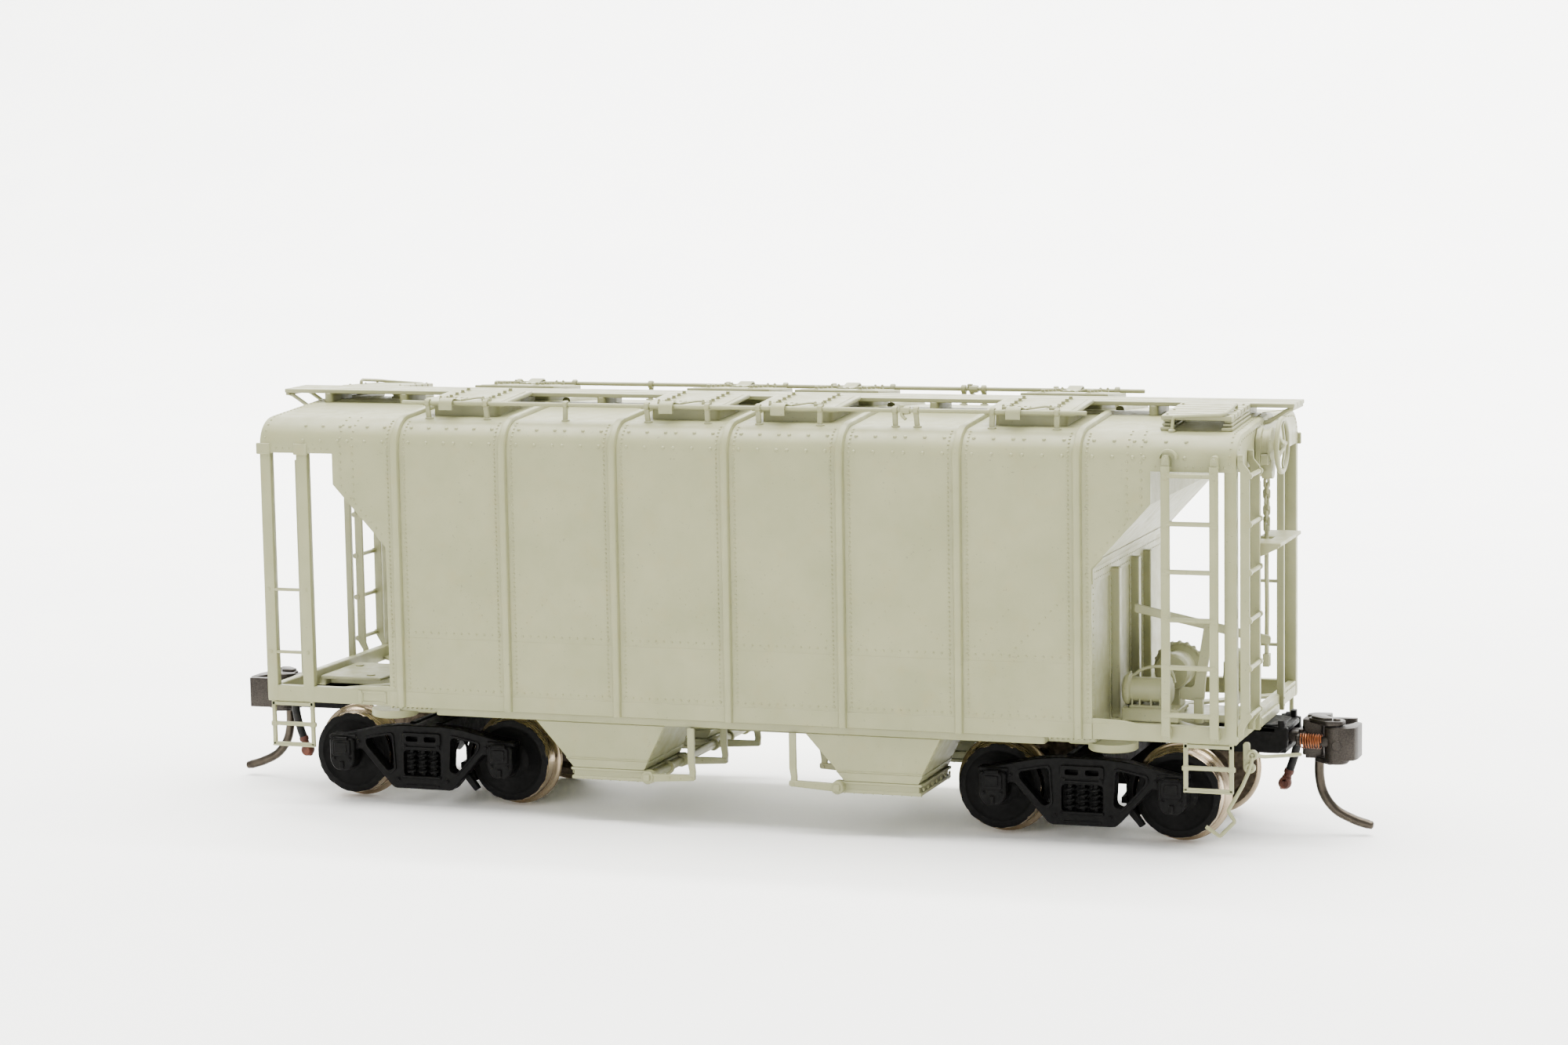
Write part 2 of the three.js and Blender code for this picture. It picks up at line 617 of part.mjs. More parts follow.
function uncouplingLever() {
  const bracket = prism('y', [[57.2, 12.2], [58.5, 12.2], [58.5, 9.4], [57.8, 9.4]], -13.3, -12.7);
  const handle = [
    [58.1, -13.1, 9.8],
    [57.3, -13.7, 9.2],
    [56.5, -14, 6.3],
    [55.5, -14.2, 4.6],
    [56.3, -14.2, 3.6],
    [54.8, -14.4, 2.1],
    [53.3, -14.4, 2.9],
  ];
  const arm = [[58.1, -13, 9.9], [58.6, -12, 10.4], [59.6, -8, 9.9], [61.6, -4.2, 9.4]];
  return join(bracket, wire(handle, 0.2, 12, 5, 0.2), wire(arm, 0.2, 5, 5, 0.3));
}

placeAtBothEnds('coupler_box', couplerBox(), black);
placeAtBothEnds('coupler', couplerHead(), castMetal);
placeAtBothEnds('knuckle', knuckle(), castMetal);
placeAtBothEnds('knuckle_spring', knuckleSpring(), copper);
placeAtBothEnds('air_hose', airHose(), black);
placeAtBothEnds('uncoupling_lever', uncouplingLever(), paint);

// ---- trucks, drawn about the middle of a truck ----
function sideFrame(side) {
  const [inner, outer] = [side * 10.8, side * 12.5];
  const half = [
    [4.6, 9.3], [9.2, 8.2], [11.4, 7.6], [11.4, 4.2], [8.6, 4.2], [8.5, 6.4], [7.7, 6.5], [3.7, 2.1],
  ];
  const outline = [...half, ...half.map(([x, z]) => [-x, z]).reverse()];
  const windows = [-1, 1].map((end) => {
    const triangle = [[end * 3.6, 8.2], [end * 7.1, 7.6], [end * 7.0, 7.0], [end * 3.6, 3.7]];
    return prism('y', triangle, ...span(inner - side, outer + side));
  });
  const boxes = [-1, 1].map((end) => {
    return box(around(end * AXLE.x, 1.5), span(side * 10.8, side * 13.5), [4.0, 7.4]);
  });
  const bolsterEnd = box(around(0, 2.1), span(inner, side * 12.9), [3.2, 9.6]);
  let frame = join(prism('y', outline, ...span(inner, outer)), boxes, bolsterEnd);
  for (const body of windows) {
    frame = frame.subtract(body);
  }
  for (const end of [-1, 1]) {
    const bearing = cylinder('y', 0.82, ...span(side * 10, side * 12.9), [end * AXLE.x, AXLE.z], 10);
    frame = frame.subtract(bearing);
  }
  return frame;
}

function truckFrame() {
  const bolster = box(around(0, 2.1), around(0, 11.2), [6.9, 9.7]);
  const plate = cylinder('z', 3.2, 9.4, 10.9, [0, 0], 16);
  const hole = cylinder('z', 1.12, 5, 12, [0, 0], 12);
  return join(sideFrame(1), sideFrame(-1), bolster, plate).subtract(hole);
}

function truckScrew() {
  const head = cylinder('z', 2.0, 5.9, 6.75, [0, 0], 12);
  return join(head, cylinder('z', 1.0, 6.5, 10.9, [0, 0], 12));
}

function wheelset() {
  const side = [
    [0.32, 12.75], [0.7, 12.1], [0.7, 9.7], [3.9, 9.7], [4.2, WHEEL.face], [WHEEL.tread, WHEEL.face],
    [WHEEL.tread, 8.0], [WHEEL.flange, 7.7], [WHEEL.flange, WHEEL.back], [1.2, WHEEL.back],
  ];
  const profile = [[0, -12.75], ...side.map(([r, y]) => [r, -y]), ...side.slice().reverse(), [0, 12.75]];
  return turned('y', profile, [0, 0], 20);
}

for (const [end, x] of [['a', -TRUCK_X], ['b', TRUCK_X]]) {
  const truck = new THREE.Group();
  truck.position.x = x;
  car.add(truck);
  place(truck, `truck_frame_${end}`, truckFrame(), black);
  place(truck, `truck_screw_${end}`, truckScrew(), steel);
  for (const [index, axleX] of [[1, -AXLE.x], [2, AXLE.x]]) {
    const axle = new THREE.Group();
    axle.position.set(axleX, 0, AXLE.z);
    truck.add(axle);
    place(axle, `wheelset_${end}${index}`, wheelset(), nickel);
  }
}

export default car;
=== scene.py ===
"""Looks of the covered hopper car model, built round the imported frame.

Lengths are in millimetres and become metres where a piece is made. +X is the hand-brake end,
side "r" is the -Y side and side "l" is the +Y side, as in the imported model.
"""
import json
import math
import random

import bmesh
import bpy
from mathutils import Matrix, Vector


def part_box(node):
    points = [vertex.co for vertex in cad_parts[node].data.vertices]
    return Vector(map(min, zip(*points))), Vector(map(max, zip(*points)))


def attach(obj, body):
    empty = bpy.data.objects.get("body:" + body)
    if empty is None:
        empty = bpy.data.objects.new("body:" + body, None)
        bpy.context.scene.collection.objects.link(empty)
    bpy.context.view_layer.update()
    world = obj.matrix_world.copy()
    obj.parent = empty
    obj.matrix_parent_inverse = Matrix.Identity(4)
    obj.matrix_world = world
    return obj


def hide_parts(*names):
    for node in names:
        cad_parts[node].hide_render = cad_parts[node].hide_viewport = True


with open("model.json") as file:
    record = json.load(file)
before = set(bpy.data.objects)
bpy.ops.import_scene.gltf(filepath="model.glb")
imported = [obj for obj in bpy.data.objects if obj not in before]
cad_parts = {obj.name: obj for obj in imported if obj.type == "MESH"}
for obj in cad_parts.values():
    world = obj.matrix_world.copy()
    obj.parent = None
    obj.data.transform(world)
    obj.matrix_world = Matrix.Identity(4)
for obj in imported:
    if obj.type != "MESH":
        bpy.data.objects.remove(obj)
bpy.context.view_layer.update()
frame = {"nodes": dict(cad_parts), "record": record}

MM = 0.001
TURN = math.tau


def edges(node):
    """Lowest and highest corner of a CAD node, in millimetres."""
    low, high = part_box(node)
    return low / MM, high / MM


def centre_x(node):
    low, high = edges(node)
    return (low.x + high.x) / 2


def around(middle, half):
    return [middle - half, middle + half]


# ---- sizes that the pieces share ----
shell_low, shell_high = edges("body_shell")
END_X = shell_high.x
RIB_OUT = 0.5
SIDE_Y = shell_high.y - RIB_OUT
SILL_Z = shell_low.z
SILL_TOP = SILL_Z + 1.87
WALL = 1.0
EAVE_Z = 42.2
WINDOW_TOP = 41.29
ROOF_EDGE_Y = 12.5
ROOF_SLOPE = 0.065
RIDGE_Z = 46.05
SHEET_X = 41.41
SHELF_X = 47.87
SLOPE_LOW, SLOPE_HIGH = 30.73, 37.77
RIB_PITCH = 13.3
RIB_XS = [RIB_PITCH * i for i in range(-3, 4)]
RIB_WIDTH = 0.96
BOARD_Y = edges("running_board")[1].y
BOARD_TOP = edges("running_board")[1].z
LID_TOP = 47.62
LID_SLOPE = 0.078
CORNER_POST_X = 55.76
SECOND_POST_XS = (51.1, 52.5)
POST_TOP = WINDOW_TOP + 0.3
END_POST = {"y": 6.25, "half": 0.27, "inner": 56.77, "outer": 57.58, "step": 39.38}
DECK_Z = (11.45, SILL_Z - 0.04)
BOLSTER_Z = (10.95, 11.6)
SEAM_Z, BAND_Z = 21.05, 14.55
SIDES = {"r": -1, "l": 1}
ENDS = {"b": 1, "a": -1}


def roof_z(y):
    return RIDGE_Z - ROOF_SLOPE * abs(y)


# ---- geometry ----
def sweep_frames(path, up):
    """A point, a sideways and an upward direction at each station of a path, without twist."""
    points = [Vector(p) for p in path]
    frames, normal = [], Vector(up)
    for i, point in enumerate(points):
        before = points[max(i - 1, 0)]
        after = points[min(i + 1, len(points) - 1)]
        along = (after - before).normalized()
        normal = (normal - along * normal.dot(along)).normalized()
        frames.append((point, along.cross(normal), normal))
    return frames


def curve_through(points, steps=4):
    """Points along a smooth curve through the given ones."""
    points = [Vector(p) for p in points]
    ends = [points[0] * 2 - points[1], *points, points[-1] * 2 - points[-2]]
    found = []
    for a, b, c, d in zip(ends, ends[1:], ends[2:], ends[3:]):
        for i in range(steps):
            t = i / steps
            found.append((b * 2 + (c - a) * t + (a * 2 - b * 5 + c * 4 - d) * t * t
                          + (b * 3 - a - c * 3 + d) * t ** 3) / 2)
    return found + [points[-1]]


def rounded(points, radius):
    """The path with each inner corner rounded off."""
    steps = 4
    points = [Vector(p) for p in points]
    found = [points[0]]
    for before, corner, after in zip(points, points[1:], points[2:]):
        reach = min(radius, (before - corner).length / 2, (after - corner).length / 2)
        start = corner + (before - corner).normalized() * reach
        end = corner + (after - corner).normalized() * reach
        for i in range(steps + 1):
            t = i / steps
            found.append(start * (1 - t) ** 2 + corner * 2 * t * (1 - t) + end * t * t)
    return found + [points[-1]]


def circle(radius, sides):
    return [(radius * math.cos(TURN * i / sides), radius * math.sin(TURN * i / sides)) for i in range(sides)]


def moved(outline, du, dv):
    return [(du + u, dv + v) for u, v in outline]


def rounded_rectangle(width, height, radius, steps=3):
    """Outline points of a rectangle about the origin with round corners."""
    found = []
    for corner in range(4):
        cx = (width / 2 - radius) * (1 if corner in (0, 3) else -1)
        cy = (height / 2 - radius) * (1 if corner in (0, 1) else -1)
        for i in range(steps + 1):
            angle = TURN / 4 * (corner + i / steps)
            found.append((cx + radius * math.cos(angle), cy + radius * math.sin(angle)))
    return found


def helix(axis, radius, centre, start, length, turns, steps):
    """A coil's path along an axis, with so many steps to a turn."""
    path = []
    for i in range(int(turns * steps) + 1):
        angle = TURN * i / steps
        station = start + length * i / (turns * steps)
        path.append(upright(axis, centre[0] + radius * math.cos(angle),
                            centre[1] + radius * math.sin(angle), station))
    return path


def upright(axis, u, v, station):
    """A point from its place in an outline and its station along an axis."""
    if axis == "x":
        return Vector((station, u, v))
    if axis == "y":
        return Vector((u, station, v))
    return Vector((u, v, station))


class Shape:
    """Closed shells in millimetres that make up one piece."""

    def __init__(self):
        self.points = []
        self.faces = []

    def add(self, points, faces, bevel=0.0, segments=1):
        if bevel:
            points, faces = self.bevelled(points, faces, bevel, segments)
        base = len(self.points)
        self.points += [Vector(p) for p in points]
        self.faces += [[base + i for i in face] for face in faces]

    @staticmethod
    def bevelled(points, faces, width, segments):
        work = bmesh.new()
        corners = [work.verts.new(p) for p in points]
        for face in faces:
            work.faces.new([corners[i] for i in face])
        bmesh.ops.remove_doubles(work, verts=work.verts, dist=1e-4)
        bmesh.ops.recalc_face_normals(work, faces=work.faces)
        sharp = [e for e in work.edges if e.calc_face_angle(0) > math.radians(28)]
        bmesh.ops.bevel(work, geom=sharp, offset=width, segments=segments, profile=0.5,
                        affect="EDGES", clamp_overlap=True)
        work.verts.index_update()
        found = [v.co.copy() for v in work.verts], [[v.index for v in f.verts] for f in work.faces]
        work.free()
        return found

    def loft(self, rings, bevel=0.0, segments=1, closed=False):
        """Skins a row of equal rings, and caps the two ends unless the row closes on itself."""
        count = len(rings[0])
        rows = len(rings)
        faces = []
        for r in range(rows if closed else rows - 1):
            a, b = r * count, (r + 1) % rows * count
            for i in range(count):
                j = (i + 1) % count
                faces.append([a + i, a + j, b + j, b + i])
        if not closed:
            faces.append(list(range(count))[::-1])
            faces.append([(rows - 1) * count + i for i in range(count)])
        self.add([p for ring in rings for p in ring], faces, bevel, segments)

    def prism(self, axis, outline, start, end, bevel=0.0, segments=1):
        self.loft([[upright(axis, u, v, s) for u, v in outline] for s in (start, end)], bevel, segments)

    def box(self, xs, ys, zs, bevel=0.0, segments=1):
        x0, x1 = sorted(xs)
        y0, y1 = sorted(ys)
        z0, z1 = sorted(zs)
        self.prism("z", [(x0, y0), (x1, y0), (x1, y1), (x0, y1)], z0, z1, bevel, segments)

    def sweep(self, path, section, up=(0, 0, 1), bevel=0.0):
        """Carries a section of (sideways, upward) points along a path."""
        rings = [[p + side * u + normal * v for u, v in section]
                 for p, side, normal in sweep_frames(path, up)]
        self.loft(rings, bevel)

    def rod(self, path, radius, sides=8, up=(0, 0, 1)):
        self.sweep(path, circle(radius, sides), up)

    def turned(self, axis, profile, centre=(0, 0), sides=24):
        """Turns a profile of (radius, station) points about an axis."""
        rings = []
        for radius, station in profile:
            ring = circle(max(radius, 1e-5), sides)
            rings.append([upright(axis, centre[0] + u, centre[1] + v, station) for u, v in ring])
        self.loft(rings)

    def pin(self, axis, radius, start, end, centre, sides):
        self.turned(axis, [(0, start), (radius, start), (radius, end), (0, end)], centre, sides)

    def tube(self, axis, profile, centre, sides, jitter=None):
        """Turns a closed profile of (radius, station) points, which keeps off the axis, about it."""
        rings = []
        for i in range(sides):
            angle = TURN * i / sides
            ring = []
            for k, (radius, station) in enumerate(profile):
                r = radius + (jitter(i, k) if jitter else 0)
                u, v = centre[0] + r * math.cos(angle), centre[1] + r * math.sin(angle)
                ring.append(upright(axis, u, v, station))
            rings.append(ring)
        self.loft(rings, closed=True)

    def rivet(self, at, normal, radius=0.13, height=None):
        """A low six-sided dome."""
        normal = Vector(normal).normalized()
        side = normal.orthogonal().normalized()
        other = normal.cross(side)
        height = radius * 0.62 if height is None else height
        rings = []
        for share, lift in ((1, -0.04), (0.78, height * 0.66), (0.3, height)):
            rings.append([Vector(at) + normal * lift + (side * u + other * v) * share
                          for u, v in circle(radius, 6)])
        self.loft(rings)

    def rivets(self, a, b, pitch, normal, radius=0.13, height=None):
        """A row of rivets from a to b, spaced as near to the pitch as fits."""
        a, b = Vector(a), Vector(b)
        count = max(1, round((b - a).length / pitch))
        for i in range(count + 1):
            self.rivet(a.lerp(b, i / count), normal, radius, height)

    def bolt(self, at, normal, radius=0.3, height=0.3):
        """A hexagonal head on a thin washer."""
        normal = Vector(normal).normalized()
        path = [Vector(at) - normal * 0.06, Vector(at) + normal * height]
        across = normal.orthogonal()
        self.sweep(path, circle(radius, 6), across, bevel=radius * 0.2)
        washer = [Vector(at) - normal * 0.06, Vector(at) + normal * 0.07]
        self.sweep(washer, circle(radius * 1.35, 12), across)

    def joined(self, other, matrix=None):
        """Adds another shape, moved by a matrix."""
        matrix = matrix or Matrix.Identity(4)
        self.add([matrix @ p for p in other.points], other.faces)

    def mesh(self, name):
        work = bmesh.new()
        corners = [work.verts.new(p * MM) for p in self.points]
        for face in self.faces:
            work.faces.new([corners[i] for i in face])
        bmesh.ops.remove_doubles(work, verts=work.verts, dist=1e-7)
        bmesh.ops.dissolve_degenerate(work, edges=work.edges, dist=1e-8)
        bmesh.ops.recalc_face_normals(work, faces=work.faces)
        made = bpy.data.meshes.new(name)
        work.to_mesh(made)
        work.free()
        return made


def smooth(mesh, angle=32):
    mesh.polygons.foreach_set("use_smooth", [True] * len(mesh.polygons))
    mesh.set_sharp_from_angle(angle=math.radians(angle))


HALF_TURN = Matrix.Rotation(math.pi, 4, "Z")


def piece(name, shape, body, material, slot, *nodes, angle=32):
    """Makes a shape into a piece that rides on a body and stands for CAD nodes."""
    mesh = shape if isinstance(shape, bpy.types.Mesh) else shape.mesh(name)
    mesh.name = name
    made = bpy.data.objects.new(name, mesh)
    bpy.context.scene.collection.objects.link(made)
    mesh.materials.clear()
    mesh.materials.append(material)
    smooth(mesh, angle)
    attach(made, body)
    if nodes:
        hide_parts(*nodes)


def carved(start, steps):
    """The mesh of a shape after boolean steps of (operation, shape or mesh)."""
    def hold(shape):
        mesh = shape if isinstance(shape, bpy.types.Mesh) else shape.mesh("work")
        made = bpy.data.objects.new("work", mesh)
        bpy.context.scene.collection.objects.link(made)
        return made

    target = hold(start)
    tools = []
    for operation, shape in steps:
        tool = hold(shape)
        tools.append(tool)
        cut = target.modifiers.new("cut", "BOOLEAN")
        cut.operation = operation
        cut.solver = "MANIFOLD"
        cut.object = tool
    bpy.context.view_layer.update()
    graph = bpy.context.evaluated_depsgraph_get()
    mesh = bpy.data.meshes.new_from_object(target.evaluated_get(graph))
    for used in [target, *tools]:
        bpy.data.objects.remove(used)
    return mesh


# ---- materials ----
class Surface:
    """A principled material whose colour, roughness and relief come from noise in object space."""

    def __init__(self, name, metallic=0.0, specular=0.5):
        self.material = bpy.data.materials.new(name)
        self.material.use_nodes = True
        self.tree = self.material.node_tree
        self.shader = self.tree.nodes["Principled BSDF"]
        self.shader.inputs["Metallic"].default_value = metallic
        self.shader.inputs["Specular IOR Level"].default_value = specular
        self.place = self.node("ShaderNodeTexCoord").outputs["Object"]

    def node(self, kind, settings=None, **inputs):
        made = self.tree.nodes.new(kind)
        for key, value in (settings or {}).items():
            setattr(made, key, value)
        for key, value in inputs.items():
            socket = made.inputs[int(key[1:])] if key[1:].isdigit() else made.inputs[key]
            if isinstance(value, bpy.types.NodeSocket):
                self.tree.links.new(value, socket)
            else:
                socket.default_value = value
        return made

    def noise(self, size, detail=3.0, stretch=None):
        """Noise with features about size millimetres across."""
        place = self.place
        if stretch:
            place = self.node("ShaderNodeMapping", Vector=place, Scale=stretch).outputs[0]
        made = self.node("ShaderNodeTexNoise", Vector=place, Scale=1 / (size * MM), Detail=detail)
        return made.outputs[0]

    def between(self, factor, low, high, out_low=0.0, out_high=1.0):
        """Maps part of a range onto another, and holds it at the ends."""
        made = self.node("ShaderNodeMapRange", Value=factor, i1=low, i2=high, i3=out_low, i4=out_high)
        return made.outputs[0]

    def mix(self, factor, first, second):
        made = self.node("ShaderNodeMix", {"data_type": "RGBA"})
        for socket, value in ((made.inputs[0], factor), (made.inputs[6], first), (made.inputs[7], second)):
            if isinstance(value, bpy.types.NodeSocket):
                self.tree.links.new(value, socket)
            else:
                socket.default_value = value
        return made.outputs[2]

    def finish(self, colour, roughness, bumps):
        self.tree.links.new(colour, self.shader.inputs["Base Color"])
        self.tree.links.new(roughness, self.shader.inputs["Roughness"])
        normal = None
        for height, depth in bumps:
            made = self.node("ShaderNodeBump", Height=height, Distance=depth * MM, Strength=1.0)
            if normal:
                self.tree.links.new(normal, made.inputs["Normal"])
            normal = made.outputs[0]
        if normal:
            self.tree.links.new(normal, self.shader.inputs["Normal"])
        return self.material


def srgb(r, g, b):
    """A linear colour from display values of 0 to 255."""
    def linear(c):
        c /= 255
        return c / 12.92 if c <= 0.04045 else ((c + 0.055) / 1.055) ** 2.4
    return linear(r), linear(g), linear(b), 1.0


def specks(look, size, share):
    """Scattered small spots: 1 on a spot and 0 elsewhere. A larger share makes more of them."""
    fine = look.noise(size, 1.0)
    patch = look.between(look.noise(size * 14, 2.0), 0.42, 0.66)
    spot = look.between(fine, 0.83 - share, 0.87 - share)
    return look.node("ShaderNodeMath", {"operation": "MULTIPLY"}, i0=spot, i1=patch).outputs[0]


def painted(name, light, dark, grime):
    """Satin model paint with a little dust, mottling and dark specks."""
    look = Surface(name)
    mottled = look.mix(look.between(look.noise(6, 4.0), 0.3, 0.7), light, dark)
    stained = look.mix(look.between(look.noise(2.2, 5.0), 0.56, 0.85, 0, 0.35), mottled, grime)
    spotted = look.mix(look.node("ShaderNodeMath", {"operation": "MULTIPLY"},
                                 i0=specks(look, 0.3, 0.12), i1=0.6).outputs[0],
                       stained, srgb(92, 86, 72))
    rough = look.between(look.noise(1.5, 4.0), 0.3, 0.7, 0.4, 0.56)
    return look.finish(spotted, rough, [(look.noise(0.16, 3.0), 0.006), (look.noise(1.2, 2.0), 0.01)])


def moulded(name, light, dark, rough_low, rough_high, grain=0.12, relief=0.01, specular=0.2):
    """Moulded plastic or rubber with fine grain and dust."""
    look = Surface(name, specular=specular)
    dusty = look.mix(look.between(look.noise(1.6, 5.0), 0.45, 0.75), dark, light)
    rough = look.between(look.noise(0.5, 4.0), 0.3, 0.7, rough_low, rough_high)
    return look.finish(dusty, rough, [(look.noise(grain, 3.0), relief)])


def metallic(name, light, dark, rough_low, rough_high, stretch=None, relief=0.004, grain=0.2):
    """Metal with tooling marks or a cast skin, and patches of tarnish."""
    look = Surface(name, metallic=1.0)
    tone = look.mix(look.between(look.noise(grain * 3, 4.0, stretch), 0.3, 0.7), light, dark)
    tone = look.mix(look.between(look.noise(3.5, 5.0), 0.5, 0.8, 0, 0.3), tone, dark)
    rough = look.between(look.noise(grain, 4.0, stretch), 0.25, 0.75, rough_low, rough_high)
    return look.finish(tone, rough, [(look.noise(grain, 3.0, stretch), relief)])


PAINT = painted("grey_paint", srgb(133, 133, 98), srgb(124, 125, 90), srgb(132, 121, 76))
BLACK = moulded("black_plastic", srgb(7, 7, 6), srgb(3, 3, 3), 0.5, 0.68, specular=0.1)
TURNED = (0.03, 1, 0.03)
NICKEL = metallic("nickel_silver", srgb(176, 160, 136), srgb(150, 134, 112), 0.2, 0.32, TURNED, 0.003, 0.25)
SINTERED = metallic("cast_metal", srgb(63, 59, 55), srgb(46, 43, 41), 0.42, 0.58, relief=0.006, grain=0.05)
COPPER = metallic("spring_copper", srgb(160, 98, 62), srgb(112, 66, 42), 0.26, 0.4)
STEEL = metallic("ballast_steel", srgb(150, 150, 150), srgb(110, 108, 106), 0.3, 0.5)
RUBBER = moulded("hose_rubber", srgb(40, 38, 37), srgb(16, 16, 16), 0.5, 0.75)

LOOKS = {
    "grey_paint": PAINT,
    "black_plastic": BLACK,
    "nickel_silver": NICKEL,
    "cast_metal": SINTERED,
    "spring_copper": COPPER,
    "ballast_steel": STEEL,
    "hose_rubber": RUBBER,
}


def paint_piece(name, shape, *nodes, body="carbody", angle=32):
    """A piece in the car's own paint."""
    piece(name, shape, body, PAINT, "grey_paint", *nodes, angle=angle)


def add_at_both_ends(name, shape, body, material, slot, *nodes):
    """The shape is drawn at the +X end and turned half round for the other."""
    for end in ENDS:
        made = Shape()
        made.joined(shape, HALF_TURN if end == "a" else None)
        piece(name.format(end), made, body.format(end), material, slot, *[n.format(end) for n in nodes])


def paint_both_ends(name, shape, *nodes):
    add_at_both_ends(name, shape, "carbody", PAINT, "grey_paint", *nodes)


def dress_cad_nodes():
    """Gives each CAD node the procedural look of its material slot."""
    for part in frame["record"]["subparts"]:
        node = frame["nodes"][part["node"]]
        node.data.materials.clear()
        node.data.materials.append(LOOKS[part["material_slot"]])


dress_cad_nodes()


# ---- car body ----
HATCHES = [f"{name}{i}" for name in SIDES for i in range(1, 5)]
HATCH_FAR = 11.4
HATCH_THICK = 0.45
COAMING = {"length": 8.1, "near": 3.9, "far": 10.7, "wall": 0.6}
LADDER_X = centre_x("side_ladder_b")


def side_profile(end_y=0.0, bottom=SILL_Z):
    """(y, z, normal y, normal z) up the +Y side, round the eave and over the roof to end_y."""
    wide, high, steps = SIDE_Y - ROOF_EDGE_Y, roof_z(ROOF_EDGE_Y) - EAVE_Z, 14
    found = [(SIDE_Y, bottom, 1.0, 0.0)]
    for i in range(steps + 1):
        angle = TURN / 4 * i / steps
        normal = Vector((math.cos(angle) / wide, math.sin(angle) / high)).normalized()
        found.append((ROOF_EDGE_Y + wide * math.cos(angle), EAVE_Z + high * math.sin(angle), *normal))
    found.append((end_y, roof_z(end_y), ROOF_SLOPE, 1.0))
    return found


def roof_outline(grow=0.0, bottom=SILL_Z):
    """The whole cross-section of the body, grown outwards."""
    half = [(y + ny * grow, z + nz * grow) for y, z, ny, nz in side_profile(0.0, bottom)]
    return half + [(-y, z) for y, z in half[-2::-1]]


def end_outline(inset, bottom, top):
    """The body seen from the side: upright ends, sloping sheets and the shelf above them."""
    lift = 0.39 * inset
    half = [(SHEET_X - inset, bottom), (SHEET_X - inset, SLOPE_LOW + lift),
            (SHELF_X - inset, SLOPE_HIGH + lift), (SHELF_X - inset, top)]
    return half + [(-x, z) for x, z in half[::-1]]


def points_along(profile, pitch, first, last):
    """Evenly spaced places on a profile of (y, z, normal y, normal z), by distance along it."""
    found, passed, target = [], 0.0, first
    for a, b in zip(profile, profile[1:]):
        length = math.dist(a[:2], b[:2])
        while target <= min(passed + length, last):
            t = (target - passed) / length
            found.append([u + (v - u) * t for u, v in zip(a, b)])
            target += pitch
        passed += length
    return found


def body_mesh():
    high = RIDGE_Z + 2
    core = Shape()
    core.prism("x", roof_outline(), -SHELF_X, SHELF_X)
    outer_ends = Shape()
    outer_ends.prism("y", end_outline(0, SILL_Z - 1, high), -20, 20)
    roof = Shape()
    lip = 0.3
    rings = []
    for x, grow in ((END_X, -lip), (END_X - 0.3 * lip, -0.3 * lip), (END_X - lip, 0)):
        rings.append([Vector((x, y, z)) for y, z in roof_outline(grow, WINDOW_TOP)])
    mirrored = [[Vector((-p.x, p.y, p.z)) for p in ring] for ring in rings[::-1]]
    roof.loft(rings + mirrored)
    hollow = Shape()
    hollow.prism("x", roof_outline(-WALL, SILL_Z - 1), -SHELF_X, SHELF_X)
    inner_ends = Shape()
    inner_ends.prism("y", end_outline(WALL, SILL_Z - 2, high), -20, 20)
    trays, openings = Shape(), Shape()
    for end in ENDS.values():
        stations = sorted((end * (SHELF_X + 0.01), end * (END_X - WALL)))
        trays.prism("x", roof_outline(-WALL, WINDOW_TOP - 1), *stations)
    for x in hatch_xs():
        half = COAMING["length"] / 2 - COAMING["wall"]
        for side in SIDES.values():
            ys = [side * (COAMING["near"] + COAMING["wall"]), side * (COAMING["far"] - COAMING["wall"])]
            openings.box(around(x, half), ys, [43, 48])
    inside = carved(hollow, [("INTERSECT", inner_ends)])
    return carved(core, [("INTERSECT", outer_ends), ("UNION", roof), ("DIFFERENCE", inside),
                         ("DIFFERENCE", trays), ("DIFFERENCE", openings)])


def hatch_centre(name):
    return centre_x(f"hatch_cover_{name}")


def hatch_near(name):
    """How far from the middle of the roof a lid's inner edge is."""
    low, high = edges(f"hatch_cover_{name}")
    return min(abs(low.y), abs(high.y))


def hatch_xs():
    return sorted({round(hatch_centre(name), 3) for name in HATCHES})


def add_ribs():
    half = RIB_WIDTH / 2
    section = [(-half, -0.05), (-half * 0.97, 0.2), (-half * 0.72, 0.42), (-half * 0.3, RIB_OUT),
               (half * 0.3, RIB_OUT), (half * 0.72, 0.42), (half * 0.97, 0.2), (half, -0.05)]
    ribs = Shape()
    for x in RIB_XS:
        for side in SIDES.values():
            rings = []
            for y, z, ny, nz in side_profile(BOARD_Y - 0.1, SILL_Z + 0.02):
                rings.append([(x + dx, side * (y + ny * dn), z + nz * dn) for dx, dn in section])
            ribs.loft(rings)
    paint_piece("body_ribs", ribs)


def add_coamings():
    """The rounded frames that the hatch lids close on."""
    frames = Shape()
    thick, length = COAMING["wall"], COAMING["length"]
    width = COAMING["far"] - COAMING["near"]
    for name in HATCHES:
        side, x = SIDES[name[0]], hatch_centre(name)
        near = hatch_near(name)
        under = LID_TOP - HATCH_THICK - 0.04
        middle = side * (COAMING["near"] + width / 2)
        outer = rounded_rectangle(length, width, 0.55)
        inner = rounded_rectangle(length - 2 * thick, width - 2 * thick, 0.2)

        def ring(outline, top):
            found = []
            for dx, dy in outline:
                y = middle + dy
                z = under - LID_SLOPE * (abs(y) - near) if top else roof_z(y) - 0.6
                found.append((x + dx, y, z))
            return found
        frames.loft([ring(outer, False), ring(outer, True), ring(inner, True),
                     ring(inner, False)], closed=True)
    paint_piece("hatch_coamings", frames)


